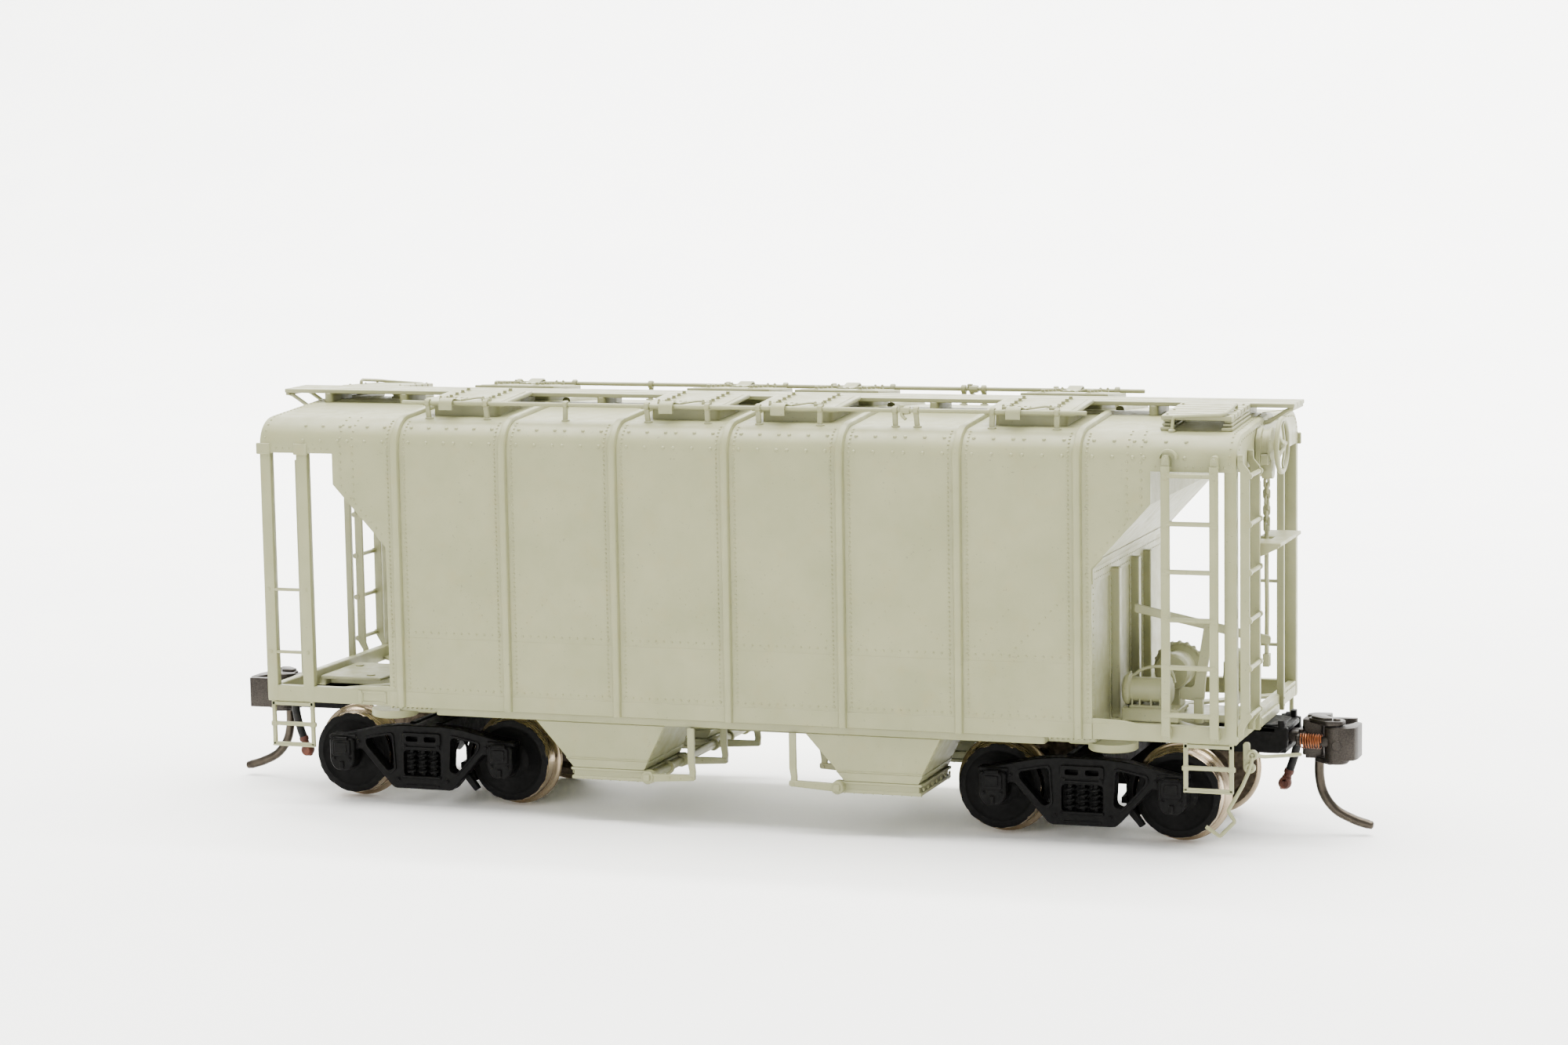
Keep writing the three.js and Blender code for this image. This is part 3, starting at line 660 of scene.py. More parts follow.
def add_side_plates():
    """The bottom band, the lapped lower sheet and the strips that cover the slope sheet's bends."""
    plates = Shape()
    for side in SIDES.values():
        face = side * (SIDE_Y - 0.2)
        plates.box([-SHEET_X, SHEET_X], [face, side * (SIDE_Y + 0.09)], [SILL_Z, 14.1], 0.04)
        plates.box([-SHEET_X + 0.02, SHEET_X - 0.02], [face, side * (SIDE_Y + 0.035)], [14, 20.4], 0.02)
    slope = Vector((SHELF_X - SHEET_X, 0, SLOPE_HIGH - SLOPE_LOW)).normalized()
    out = Vector((slope.z, 0, -slope.x))
    for end in ENDS.values():
        bend = Vector((SHEET_X, 0, SLOPE_LOW))
        outline = [bend + Vector((-0.2, 0, -1.7)), bend + Vector((0.13, 0, -1.7)),
                   bend + Vector((0.13, 0, -0.05)), bend + slope * 1.7 + out * 0.13,
                   bend + slope * 1.7 - out * 0.2, bend + Vector((-0.2, 0, 0.1))]
        plates.prism("y", [(end * p.x, p.z) for p in outline], -(SIDE_Y - 0.15), SIDE_Y - 0.15, 0.03)
    paint_piece("body_plates", plates)


def add_body_rivets():
    rivets = Shape()
    profile = side_profile()
    eave_at = EAVE_Z - SILL_Z
    eave = points_along(profile, 0.01, eave_at, 100)
    lower = min(eave, key=lambda p: abs(p[1] - 42.75))
    upper = min(eave, key=lambda p: abs(p[1] - 44.35))
    for side in SIDES.values():
        def on_profile(place, x, radius):
            y, z, ny, nz = place
            rivets.rivet((x, side * y, z), (0, side * ny, nz), radius)
        # columns beside each rib
        for x in RIB_XS:
            for dx in (-1.05, 1.05):
                for place in points_along(profile, 0.52, 2.3, eave_at + 4.1):
                    on_profile(place, x + dx, 0.17)
        # the two rows along the eave
        for place in (lower, upper):
            for i in (-4, -3, -2, -1, 1, 2, 3, 4):
                middle = RIB_PITCH * (i - math.copysign(0.5, i))
                for dx in (-5.0, -2.8, -0.6, 0.6, 2.8, 5.0):
                    if abs(middle + dx) < END_X - 2:
                        on_profile(place, middle + dx, 0.25)
        y = side * (SIDE_Y + 0.02)
        for z, radius, height in ((SEAM_Z, 0.15, 0.07), (BAND_Z, 0.16, None)):
            rivets.rivets((-SHEET_X + 0.6, y, z), (SHEET_X - 0.6, y, z), 0.95, (0, side, 0), radius, height)
        for middle in RIB_XS[1:6]:
            for lean in (-1, 1):
                rivets.rivets((middle + lean * 1.8, y - side * 0.02, 21.9),
                              (middle + lean * 5.6, y - side * 0.02, 26),
                              0.95, (0, side, 0), 0.12, 0.04)
        for end in ENDS.values():
            # the slope sheet's rivets show through the side below its bend
            rivets.rivets((end * (SHEET_X - 0.6), y, 30.1), (end * 33.0, y, 21.9), 0.95,
                          (0, side, 0), 0.14, 0.06)
            for x in (45.3, 46.85):
                rivets.rivets((end * x, side * SIDE_Y, 42.2), (end * x, side * SIDE_Y, x - 9.2), 0.9,
                              (0, side, 0), 0.18)
            rivets.rivets((end * 41.9, side * SIDE_Y, 32.2), (end * 46.3, side * SIDE_Y, 36.9), 0.9,
                          (0, side, 0), 0.13)
            rivets.rivets((end * 48.4, side * SIDE_Y, WINDOW_TOP + 0.55),
                          (end * (END_X - 0.5), side * SIDE_Y, WINDOW_TOP + 0.55), 0.85, (0, side, 0), 0.13)
            for place in points_along(profile, 0.85, eave_at, eave_at + 17.5):
                on_profile(place, end * (END_X - 0.75), 0.15)
            for dx in (-0.75, 0.75):
                for place in points_along(profile, 0.9, eave_at, eave_at + 5.2):
                    on_profile(place, end * (46.1 + dx), 0.17)
            for y, z, ny, nz in points_along(profile, 0.85, eave_at - 0.5, eave_at + 18):
                at = (end * (END_X - 0.02), side * (y - ny * 0.62), z - nz * 0.62)
                rivets.rivet(at, (end, 0, 0), 0.16)
    for end in ENDS.values():
        x = end * (SHEET_X + 0.11)
        for z in (SLOPE_LOW - 0.5, SLOPE_LOW - 1.25):
            rivets.rivets((x, -15, z), (x, 15, z), 0.75, (end, 0, 0), 0.12)
        for y in (-15.3, 15.3):
            rivets.rivets((end * SHEET_X, y, 14.8), (end * SHEET_X, y, 28.6), 0.72, (end, 0, 0), 0.13)
    paint_piece("body_rivets", rivets, angle=60)


def add_framed_plate(shape, end):
    """The small framed plate on the sill beside the end sheet."""
    x, z, y = end * 43.5, (SILL_Z + SILL_TOP) / 2, -SIDE_Y
    for u, v, width, height in ((0, 0.6, 3.1, 0.2), (0, -0.6, 3.1, 0.2), (1.5, 0, 0.22, 1.4),
                                (-1.5, 0, 0.22, 1.4)):
        shape.box([x + u - width / 2, x + u + width / 2], [y - 0.07, y + 0.2],
                  [z + v - height / 2, z + v + height / 2], 0.04)
    shape.box([x - 2.0, x - 1.5], [y - 0.12, y + 0.2], around(z, 0.75), 0.06)


def add_end_frames():
    """Corner posts, sills, second posts with their grab rungs, and the end-sheet stiffeners."""
    frames, details = Shape(), Shape()
    wall = (SIDE_Y - WALL, SIDE_Y)
    for end in ENDS.values():
        for side in SIDES.values():
            ys = [side * (wall[0] + 0.05), side * (wall[1] - 0.05)]
            frames.box([end * (SHEET_X - 0.4), end * (END_X - 0.06)], ys, [SILL_Z + 0.02, SILL_TOP], 0.08)
            ys = [side * wall[0], side * (wall[1] - 0.02)]
            frames.box([end * CORNER_POST_X, end * (END_X - 0.02)], ys, [SILL_Z + 0.2, POST_TOP], 0.12, 2)
            gusset = [(end * (SHEET_X - 0.2), SILL_TOP - 0.1), (end * (SHEET_X - 0.2), SILL_TOP + 0.42),
                      (end * (SHEET_X + 3.4), SILL_TOP + 0.3), (end * (SHEET_X + 5.6), SILL_TOP - 0.1)]
            frames.prism("y", gusset, side * (SIDE_Y - 0.45), side * (SIDE_Y - 0.02), 0.06)
        ys = [end * wall[0], end * (wall[1] - 0.02)]
        frames.box([end * x for x in SECOND_POST_XS], ys, [SILL_Z + 0.2, POST_TOP], 0.12, 2)
        if end < 0:
            add_framed_plate(details, end)
        for z in (18.1, 25.4):
            y = end * (SIDE_Y - 0.25)
            details.rod([(end * 51.5, y, z), (end * 56.9, y, z)], 0.2, 8, (0, 1, 0))
            for x in (51.8, 56.55):
                details.bolt((end * x, end * (SIDE_Y - 0.03), z), (0, end, 0), 0.2, 0.12)
        for across in (-7.4, 1.4, 6.9):
            y = end * across
            zs = [13.25, 29.8]
            frames.box([end * (SHEET_X - 0.3), end * (SHEET_X + 1)], around(y, 0.5), zs, 0.1)
            frames.box([end * (SHEET_X - 0.3), end * (SHEET_X + 0.14)], around(y, 1.1), zs, 0.04)
            for dy in (-0.82, 0.82):
                x = end * (SHEET_X + 0.13)
                details.rivets((x, y + dy, 14.4), (x, y + dy, 28.6), 0.8, (end, 0, 0), 0.12)
        for dx in (0.0, 51.8 - 56.5):
            x = end * (56.6 + dx)
            details.box(around(x, 0.9), [end * (SIDE_Y - 0.2), end * (SIDE_Y + 0.1)],
                        [WINDOW_TOP - 0.2, WINDOW_TOP + 1.1], 0.09)
    paint_piece("end_frames", frames)
    paint_piece("end_frame_details", details)


def add_body():
    paint_piece("car_body", body_mesh(), "body_shell")
    add_ribs()
    add_coamings()
    add_side_plates()
    add_body_rivets()
    add_end_frames()


add_body()


# ---- roof walks, hatches and their locking rods ----
board_low, board_high = edges("running_board")
ROD_Y = 13.0
ROD_Z = 47.05
ROD_R = 0.24


def planks(shape, xs, ys, top, thick, count, gap, along="x", tilt=0.0):
    """A row of planks side by side. Along "x" they lie side by side in y, and the other way round."""
    start, end = ys if along == "x" else xs
    step = (end - start + gap) / count
    for i in range(count):
        low = start + i * step
        side = [low, low + step - gap]
        x_span, y_span = (xs, side) if along == "x" else (side, ys)
        z = [top - tilt * abs(v) for v in y_span]
        outline = [(y_span[0], z[0]), (y_span[1], z[1]), (y_span[1], z[1] - thick), (y_span[0], z[0] - thick)]
        shape.prism("x", outline, x_span[0], x_span[1], 0.07)


def add_running_board():
    deck, under = Shape(), Shape()
    thick = 0.47
    top = BOARD_TOP
    planks(deck, [board_low.x, board_high.x], [-2.75, 2.75], top, thick, 3, 0.2)
    for x in (-54.8, -45, -31, -20, -9, 4, 9, 20, 31, 45, 54.8):
        profile = rounded_rectangle(5.7, 1.1, 0.5)
        outline = [(x + v, u) for u, v in profile]
        under.prism("z", outline, RIDGE_Z - 0.2, top - thick + 0.04, 0.08)
    for end in ENDS.values():
        for y in (-2.2, 2.2):
            path = rounded([(end * 60.2, y, top - 0.6), (end * 59.7, y, top - 0.75), (end * 57.6, y, 45.3),
                            (end * 57.1, y, 45.25)], 0.3)
            under.rod(path, 0.24, 8, (0, 1, 0))
            under.bolt((end * 57.12, y, 45.25), (end, 0, 0), 0.26, 0.2)
        under.box([end * 59.9, end * 60.4], [-2.7, 2.7], [top - 0.78, top - thick + 0.03], 0.06)
    paint_piece("running_board_planks", deck, "running_board")
    paint_piece("running_board_supports", under)


def lateral_board():
    """The side walk at the -Y side of the +X end, with the grab iron that turns its outer corner."""
    shape = Shape()
    inner, outer, half = -(BOARD_Y + 0.15), -12.4, 3.8
    middle, fall, ridge = 52.0, 0.055, 47.58

    def top(y):
        return ridge - fall * abs(y)

    planks(shape, around(middle, half), [outer, inner], ridge, 0.5, 6, 0.22, "x", fall)
    for end in (-1, 1):
        x = middle + end * (half - 0.5)
        for reach, high, low, wide in ((11.9, 0.46, 0.8, 0.42), (12.1, 0.86, 1.16, 0.5),
                                       (12.4, 1.24, 1.66, 0.62)):
            outline = [(y, top(y) - high) for y in (-reach, inner)]
            outline += [(y, top(y) - low) for y in (inner, -reach)]
            shape.prism("x", outline, x - wide, x + wide, 0.12, 2)
        for y in (-10.9, -6.9, -3.4):
            shape.box(around(x, 0.38), around(y, 0.45), [roof_z(y) - 0.1, top(y) - 0.4], 0.08)
        for y in (-11.6, -8.4, -4.2):
            shape.rivet((x, y, top(y) + 0.02), (0, -fall, 1), 0.17)
    edge = outer - 0.25
    grab = [(49.5, outer - 0.6, roof_z(13) + 0.05), (49.55, edge, 46.55), (49.75, edge, 46.78),
            (54.75, edge, 47.05),
            (55.1, edge + 0.4, 47.15), (55.1, -7.2, 47.68), (55.1, -6.8, 47.55), (55.1, -6.8, top(6.8) - 0.1)]
    shape.rod(rounded(grab, 0.3), 0.2, 8, (0, 0, 1))
    shape.turned("z", [(0, 45.1), (0.4, 45.1), (0.4, 45.4), (0.3, 45.5), (0, 45.5)], (49.5, outer - 0.6), 12)
    return shape


def hatch_cover(name):
    """A lid with its bolted battens, hinge knuckles and the hasp that wraps over the locking rod."""
    side, x = SIDES[name[0]], hatch_centre(name)
    low, high = edges(f"hatch_cover_{name}")
    near = hatch_near(name)
    half = (high.x - low.x) / 2
    shape = Shape()

    def at(y, lift):
        return side * y, LID_TOP - LID_SLOPE * (y - near) + lift

    def sheet(inner, outer, under, top):
        return [at(inner, under), at(outer, under), at(outer, top), at(inner, top)]

    shape.prism("x", sheet(near, HATCH_FAR, -HATCH_THICK, 0), x - half, x + half, 0.1, 2)
    panel = sheet(near + 0.55, HATCH_FAR - 0.55, -0.1, 0.07)
    shape.prism("x", panel, x - half + 0.55, x + half - 0.55, 0.05)
    for dx in (-2.65, 2.65):
        batten = sheet(near + 0.4, HATCH_FAR - 0.3, -0.1, 0.11)
        shape.prism("x", batten, x + dx - 0.36, x + dx + 0.36, 0.05)
        for i in range(5):
            y, z = at(near + 0.8 + i * 1.6, 0.1)
            shape.bolt((x + dx, y, z), (0, 0, 1), 0.23, 0.34)
        y, z = at(HATCH_FAR - 0.75, 0.18)
        shape.box(around(x + dx, 0.55), around(y, 0.3), [z - 0.2, z + 0.22], 0.1, 2)
        for dy in (-0.42, 0.42):
            shape.turned("z", [(0, z), (0.17, z), (0.17, z + 0.3), (0.1, z + 0.42), (0, z + 0.45)],
                         (x + dx + dy, y), 8)
    for dx in (-2.8, 2.8):
        shape.box(around(x + dx, 0.3), [side * (near + 0.1), side * (near + 0.6)],
                  [LID_TOP - HATCH_THICK - 0.05, LID_TOP + 0.07], 0.08, 2)
    strap = [at(HATCH_FAR - 2.3, 0.1), at(HATCH_FAR - 1.2, 0.14), at(HATCH_FAR - 0.1, 0.2),
             (side * (ROD_Y - 0.45), ROD_Z + 0.42), (side * (ROD_Y + 0.1), ROD_Z + 0.44),
             (side * (ROD_Y + 0.5), ROD_Z + 0.15), (side * (ROD_Y + 0.58), ROD_Z - 0.3),
             (side * (ROD_Y + 0.52), ROD_Z - 0.75)]
    path = curve_through([(x - 1.2, y, z) for y, z in strap], 3)
    shape.sweep(path, rounded_rectangle(1.65, 0.2, 0.08, 2), (0, 0, 1))
    y, z = at(HATCH_FAR - 1.7, 0.2)
    for dx in (1.55, 0.85):
        shape.bolt((x - dx, y, z), (0, 0, 1), 0.15, 0.1)
    handle = [at(HATCH_FAR - 0.5, 0.16), at(HATCH_FAR - 0.45, 0.3), at(HATCH_FAR - 1.2, 0.34),
              at(HATCH_FAR - 2, 0.2)]
    path = [(x - 0.4 + dx, y, z) for dx, (y, z) in zip((0, 0.9, 1.7, 2.1), handle)]
    shape.rod(curve_through(path, 4), 0.12, 6)
    return shape


def hatch_rod(side):
    """A locking rod with its stanchions and lever."""
    shape = Shape()
    y = side * ROD_Y
    low, high = edges("hatch_rod_r")
    shape.turned("x", [(0, low.x), (ROD_R * 0.8, low.x), (ROD_R, low.x + 0.1), (ROD_R, high.x - 0.1),
                       (ROD_R * 0.8, high.x), (0, high.x)], (y, ROD_Z), 10)
    stands = [x + dx for x in hatch_xs() for dx in (-3.6, 3.6)] + [-20, 18.8, 21.2]
    foot = roof_z(ROD_Y)
    for x in stands:
        lean = 0.12 * math.sin(x)
        path = curve_through([(x + lean, y - side * 0.1, foot - 0.1),
                              (x + lean * 0.7, y + side * 0.02, foot + 0.5),
                              (x, y + side * 0.1, ROD_Z - 0.3)], 3)
        shape.sweep(path, rounded_rectangle(0.34, 0.6, 0.12, 2), (1, 0, 0))
        ring = [(x, y + u, ROD_Z + v) for u, v in circle(0.36, 14)]
        section = rounded_rectangle(0.56, 0.24, 0.1, 2)
        rings = []
        for i, point in enumerate(ring):
            out = Vector((0, math.cos(TURN * i / 14), math.sin(TURN * i / 14)))
            rings.append([Vector(point) + Vector((u, 0, 0)) + out * v for u, v in section])
        shape.loft(rings, closed=True)
        pad = moved(rounded_rectangle(0.95, 0.7, 0.25, 3), x + lean, y - side * 0.15)
        shape.prism("z", pad, foot - 0.15, foot + 0.16, 0.07)
        shape.rivet((x + lean, y - side * 0.15, foot + 0.14), (0, 0, 1), 0.14)
    lever_x = 20.0
    shape.turned("x", [(0, lever_x - 0.5), (0.42, lever_x - 0.5), (0.48, lever_x), (0.42, lever_x + 0.5),
                       (0, lever_x + 0.5)], (y, ROD_Z), 10)
    path = curve_through([(lever_x - 0.1, y, ROD_Z + 0.2), (lever_x - 0.4, y + side * 0.25, ROD_Z - 0.4),
                          (lever_x + 0.1, y + side * 0.35, ROD_Z - 0.95)], 3)
    shape.sweep(path, rounded_rectangle(0.5, 0.36, 0.12, 2), (1, 0, 0))
    shape.box([lever_x - 0.75, lever_x - 0.15], [y - 0.25, y + 0.3], [ROD_Z + 0.05, ROD_Z + 0.6], 0.1, 2)
    return shape


def add_roof():
    add_running_board()
    paint_both_ends("lateral_board_{}", lateral_board(), "lateral_running_board_{}")
    for name in HATCHES:
        paint_piece(f"hatch_lid_{name}", hatch_cover(name), f"hatch_cover_{name}", body=f"hatch_cover_{name}")
    for name, side in SIDES.items():
        paint_piece(f"locking_rod_{name}", hatch_rod(side), f"hatch_rod_{name}")


add_roof()


# ---- ladders and steps ----
RUNGS = [15.5 + 5.1 * i for i in range(6)]
RUNG_R = 0.27
LADDER_FOOT = 13.2
END_RAIL_YS = (-15.75, -10.6)
RUNG_X = 58.42


def corner_tab(half):
    """Half round above, square below."""
    arc = [(half * math.cos(TURN / 2 * i / 8), half * 1.15 * math.sin(TURN / 2 * i / 8)) for i in range(9)]
    return [*arc, (-half, -0.95), (half, -0.95)]


def lug(shape, at, out, across, z, half, depth):
    """A round-topped tab with its bolt, at the end of a rail."""
    rings = []
    for d in (-0.05, depth):
        rings.append([at(across, d, z + v, u) for u, v in corner_tab(half)])
    shape.loft(rings, 0.06)
    shape.bolt(at(across, depth + 0.02, z, 0), out, 0.25, 0.16)


def side_ladder():
    """Flat rails with bolted rungs, hung on rounded lugs."""
    def at(across, depth, z, shift=0.0):
        return Vector((LADDER_X + across * 2.6 + shift, -SIDE_Y - depth, z))

    shape, out = Shape(), (0, -1, 0)
    for across in (-1, 1):
        corners = [[at(across, depth, z, shift) for depth, shift in
                    ((0.75, -0.48), (1.15, -0.48), (1.15, 0.48), (0.75, 0.48))] for z in (LADDER_FOOT, 42.0)]
        shape.loft(corners, 0.1, 2)
        lug(shape, at, out, across, 42.7, 0.4, 0.95)
        lug(shape, at, out, across, 13.75, 0.44, 0.95)
    arch = [(0.92 * math.cos(TURN / 2 * i / 12), 0.85 * math.sin(TURN / 2 * i / 12)) for i in range(13)]
    path = [at(-1, 0.3, 42.75 + v, u + 0.15) for u, v in arch]
    shape.sweep(path, rounded_rectangle(0.26, 0.6, 0.1, 2), (0, 1, 0))
    for z in RUNGS:
        shape.rod([at(t, 0.95, z, 0) for t in (-1.0, 0.0, 1.0)], RUNG_R, 10)
        for across in (-1, 1):
            shape.bolt(at(across, 1.12, z, 0), out, 0.3, 0.09)
    return shape


def end_ladder():
    """Rails set edge on, kinked in to the body at top and bottom, with the rungs across their edges."""
    shape = Shape()
    outline = [(57.75, LADDER_FOOT), (57.85, 14.1), (58.47, 15.1), (58.45, 41.5), (57.8, 42.3),
               (57.76, 43.2), (57.17, 43.2), (57.17, 42.0), (57.45, 41.3), (57.45, 15.0), (57.17, 14.2),
               (57.17, LADDER_FOOT)]
    for y in END_RAIL_YS:
        shape.prism("y", outline, y - 0.19, y + 0.19, 0.05)
        for z in (42.75, 13.65):
            shape.bolt((57.5, y - 0.19, z), (0, -1, 0), 0.2, 0.1)
    for z in RUNGS:
        shape.rod([(RUNG_X, END_RAIL_YS[0] - 0.2, z), (RUNG_X, END_RAIL_YS[1] + 0.2, z)], RUNG_R - 0.02, 10)
        for y in END_RAIL_YS:
            shape.pin("y", 0.34, y - 0.26, y + 0.26, (RUNG_X, z), 12)
    return shape


def sill_step(node):
    low, high = edges(node)
    x, y = (low.x + high.x) / 2, (low.y + high.y) / 2
    side = 1 if y > 0 else -1
    half = (high.x - low.x) / 2
    shape = Shape()
    thin = [y - 0.2, y + 0.22]
    for end in (-1, 1):
        leg = sorted((x + end * half, x + end * (half - 0.46)))
        shape.box(leg, thin, [low.z, high.z + 0.3], 0.07)
        middle = (leg[0] + leg[1]) / 2
        shape.box(around(middle, 0.4), [y - 0.25, y + 0.3], [9.35, 9.95], 0.12)
        shape.bolt((middle, y + side * 0.2, high.z - 0.7), (0, side, 0), 0.17, 0.1)
    for z in (low.z, 9.45, high.z - 0.46):
        shape.box([x - half + 0.05, x + half - 0.05], thin, [z, z + 0.46], 0.07)
    shape.box(around(x, half), [y - 0.3, y + 0.24], [low.z, low.z + 0.2], 0.06)
    return shape


def add_ladders():
    paint_both_ends("side_ladder_{}_bars", side_ladder(), "side_ladder_{}")
    paint_both_ends("end_ladder_{}_bars", end_ladder(), "end_ladder_{}")
    for end in ENDS:
        for side in SIDES:
            node = f"sill_step_{end}_{side}"
            paint_piece(f"{node}_frame", sill_step(node), node)


add_ladders()


# ---- trucks and wheels ----
AXLE_X = 10.0
AXLE_Z = 5.45
FRAME_Y = (10.8, 12.5)
BOX_OUT = 13.45
WHEEL = {"tread": 4.81, "flange": 5.45, "back": 7.25, "flange_out": 7.95, "face": 10.0}


def mirrored_outline(half):
    """Closes a right-hand outline with its mirror image."""
    return half + [(-x, z) for x, z in half[::-1]]


def corner_rounded(outline, radius, steps=3):
    """A closed outline with its corners rounded off."""
    found = []
    for i, corner in enumerate(outline):
        corner = Vector(corner)
        before, after = Vector(outline[i - 1]), Vector(outline[(i + 1) % len(outline)])
        reach = min(radius, (before - corner).length * 0.45, (after - corner).length * 0.45)
        start = corner + (before - corner).normalized() * reach
        end = corner + (after - corner).normalized() * reach
        for k in range(steps + 1):
            t = k / steps
            found.append(tuple(start * (1 - t) ** 2 + corner * 2 * t * (1 - t) + end * t * t))
    return found


def truck_window(end):
    corners = [(3.75, 8.35), (7.1, 7.7), (7.0, 6.95), (4.3, 4.0), (3.5, 4.4)]
    return corner_rounded([(end * x, z) for x, z in corners], 0.5)


def side_frame_mesh(side):
    """The cast side frame with its two triangular windows, bearing holes and raised rims."""
    inner, outer = (side * y for y in FRAME_Y)
    body = Shape()
    outline = mirrored_outline([(2.6, 9.5), (5.2, 9.25), (9.4, 8.3), (11.3, 7.9), (11.3, 4.3), (8.7, 4.3),
                                (8.55, 6.4), (7.7, 6.5), (3.7, 2.05)])
    body.prism("y", corner_rounded(outline, 0.4, 2), inner, outer, 0.1)
    cuts = Shape()
    for end in (-1, 1):
        cuts.prism("y", truck_window(end), inner - side, outer + side)
        cuts.pin("y", 0.85, side * 9.9, side * 12.9, (end * AXLE_X, AXLE_Z), 16)
    for x in (-1.15, 1.15):
        cuts.prism("y", moved(rounded_rectangle(1.5, 0.62, 0.2), x, 7.95),
                   outer - side * 0.9, outer + side * 2)
    cuts.prism("y", moved(rounded_rectangle(4.7, 3.1, 0.5), 0, 5.05),
               outer - side * 0.8, outer + side * 2)
    bolster = Shape()
    bolster.prism("y", moved(rounded_rectangle(4.9, 1.5, 0.3), 0, 7.95), inner, side * 12.75, 0.08)
    boxes = Shape()
    for end in (-1, 1):
        x = end * AXLE_X
        shape = corner_rounded([(x - 1.55, 7.7), (x + 1.55, 7.7), (x + 1.55, 4.9), (x + 0.9, 3.9),
                                (x - 0.9, 3.9), (x - 1.55, 4.9)], 0.4, 2)
        boxes.prism("y", shape, side * 10.85, side * (BOX_OUT - 0.35), 0.15)
    return carved(body, [("UNION", bolster), ("UNION", boxes), ("DIFFERENCE", cuts)])


def side_frame_details(side):
    """Springs, journal lids, rims, rivets and the brake hanger of one side frame."""
    shape = Shape()
    outer = side * FRAME_Y[1]
    for x in (-1.45, 0.0, 1.45):
        shape.rod(helix("z", 0.5, (x, side * 12.0), 3.65, 2.8, 4.5, 10), 0.17, 5)
        shape.pin("z", 0.3, 3.5, 6.6, (x, side * 12.0), 8)
    shape.box([-2.35, 2.35], [outer - side * 0.9, outer + side * 0.12], [6.7, 7.05], 0.06)
    shape.box([-2.4, 2.4], [outer - side * 0.9, outer + side * 0.18], [3.3, 3.62], 0.06)
    shape.box([-2.1, 2.1], [outer - side * 0.5, outer + side * 0.1], [2.35, 2.6], 0.05)
    for end in (-1, 1):
        loop = truck_window(end)
        centre = Vector((sum(u for u, v in loop), sum(v for u, v in loop))) / len(loop)
        rings = []
        for u, v in loop:
            away = (Vector((u, v)) - centre).normalized()
            rings.append([(u + away.x * d, outer + side * out, v + away.y * d)
                          for d, out in ((0.02, -0.1), (0.02, 0.16), (0.3, 0.16), (0.34, -0.1))])
        shape.loft(rings, closed=True)
        x = end * AXLE_X
        lid = moved(rounded_rectangle(2.3, 1.9, 0.3), x, 6.6)
        shape.prism("y", lid, side * (BOX_OUT - 0.5), side * (BOX_OUT - 0.12), 0.08)
        inner_lid = moved(rounded_rectangle(1.5, 1.2, 0.2), x, 6.65)
        shape.prism("y", inner_lid, side * (BOX_OUT - 0.2), side * BOX_OUT, 0.06)
        shape.turned("x", [(0, x - 0.8), (0.22, x - 0.8), (0.22, x + 0.8), (0, x + 0.8)],
                     (side * (BOX_OUT - 0.3), 7.65), 8)
        for dx in (-1.0, 1.0):
            shape.bolt((x + dx, side * (BOX_OUT - 0.38), 5.3), (0, side, 0), 0.2, 0.2)
        shape.box(around(x, 0.25), [side * (BOX_OUT - 0.45), side * (BOX_OUT - 0.15)], [4.1, 5.0], 0.08)
        shape.box(around(x, 1.7), [side * 10.9, side * 12.75], [7.55, 8.1], 0.12)
        shape.bolt((end * 8.1, outer - side * 0.02, 7.3), (0, side, 0), 0.24, 0.2)
        shape.bolt((end * 3.1, outer - side * 0.02, 3.1), (0, side, 0), 0.22, 0.18)
        shape.bolt((end * 2.1, side * 12.72, 7.2), (0, side, 0), 0.18, 0.14)
    lever_x = 5.6 if side < 0 else -5.6
    lean = 1 if side < 0 else -1
    lever = [(lever_x - lean * 1.3, 4.2), (lever_x + lean * 0.6, 2.0), (lever_x + lean * 1.15, 2.35),
             (lever_x - lean * 0.4, 4.4)]
    shape.prism("y", lever, side * 11.0, side * 11.7, 0.08)
    return shape


def truck_middle():
    """Bolster, centre plate, brake beams and shoes between the side frames."""
    shape = Shape()
    hole = 1.12
    shape.tube("z", [(hole, 9.2), (3.2, 9.2), (3.2, 10.7), (3.0, 10.9), (hole, 10.9)], (0, 0), 24)
    for end in (-1, 1):
        shape.box([end * 1.25, end * 2.1], [-11.2, 11.2], [6.9, 9.7], 0.15)
        shape.box([-1.3, 1.3], [end * 1.25, end * 11.2], [7.4, 9.5], 0.1)
        beam_x = end * 4.0
        shape.sweep([(beam_x, -9.9, 4.6), (beam_x - end * 0.9, 0, 4.6), (beam_x, 9.9, 4.6)],
                    rounded_rectangle(0.6, 0.7, 0.1, 2), (0, 0, 1))
        for side in (-1, 1):
            y = side * 8.9
            shoe = []
            for i in range(7):
                angle = math.radians(150 + 10 * i)
                shoe.append(Vector((end * (AXLE_X + 5.05 * math.cos(angle)), y,
                                    AXLE_Z + 5.05 * math.sin(angle))))
            rings = []
            for point in shoe:
                away = (point - Vector((end * AXLE_X, y, AXLE_Z))).normalized()
                rings.append([point + away * depth + Vector((0, dy, 0))
                              for depth, dy in ((0, -0.9), (0, 0.9), (0.55, 0.8), (0.55, -0.8))])
            shape.loft(rings)
            shape.box([end * 4.4, end * 4.05], around(y, 0.3), [3.2, 6.6], 0.08)
            shape.rod([(end * 4.2, y, 6.4), (end * 3.4, y, 8.4)], 0.2, 6, (0, 1, 0))
    return shape


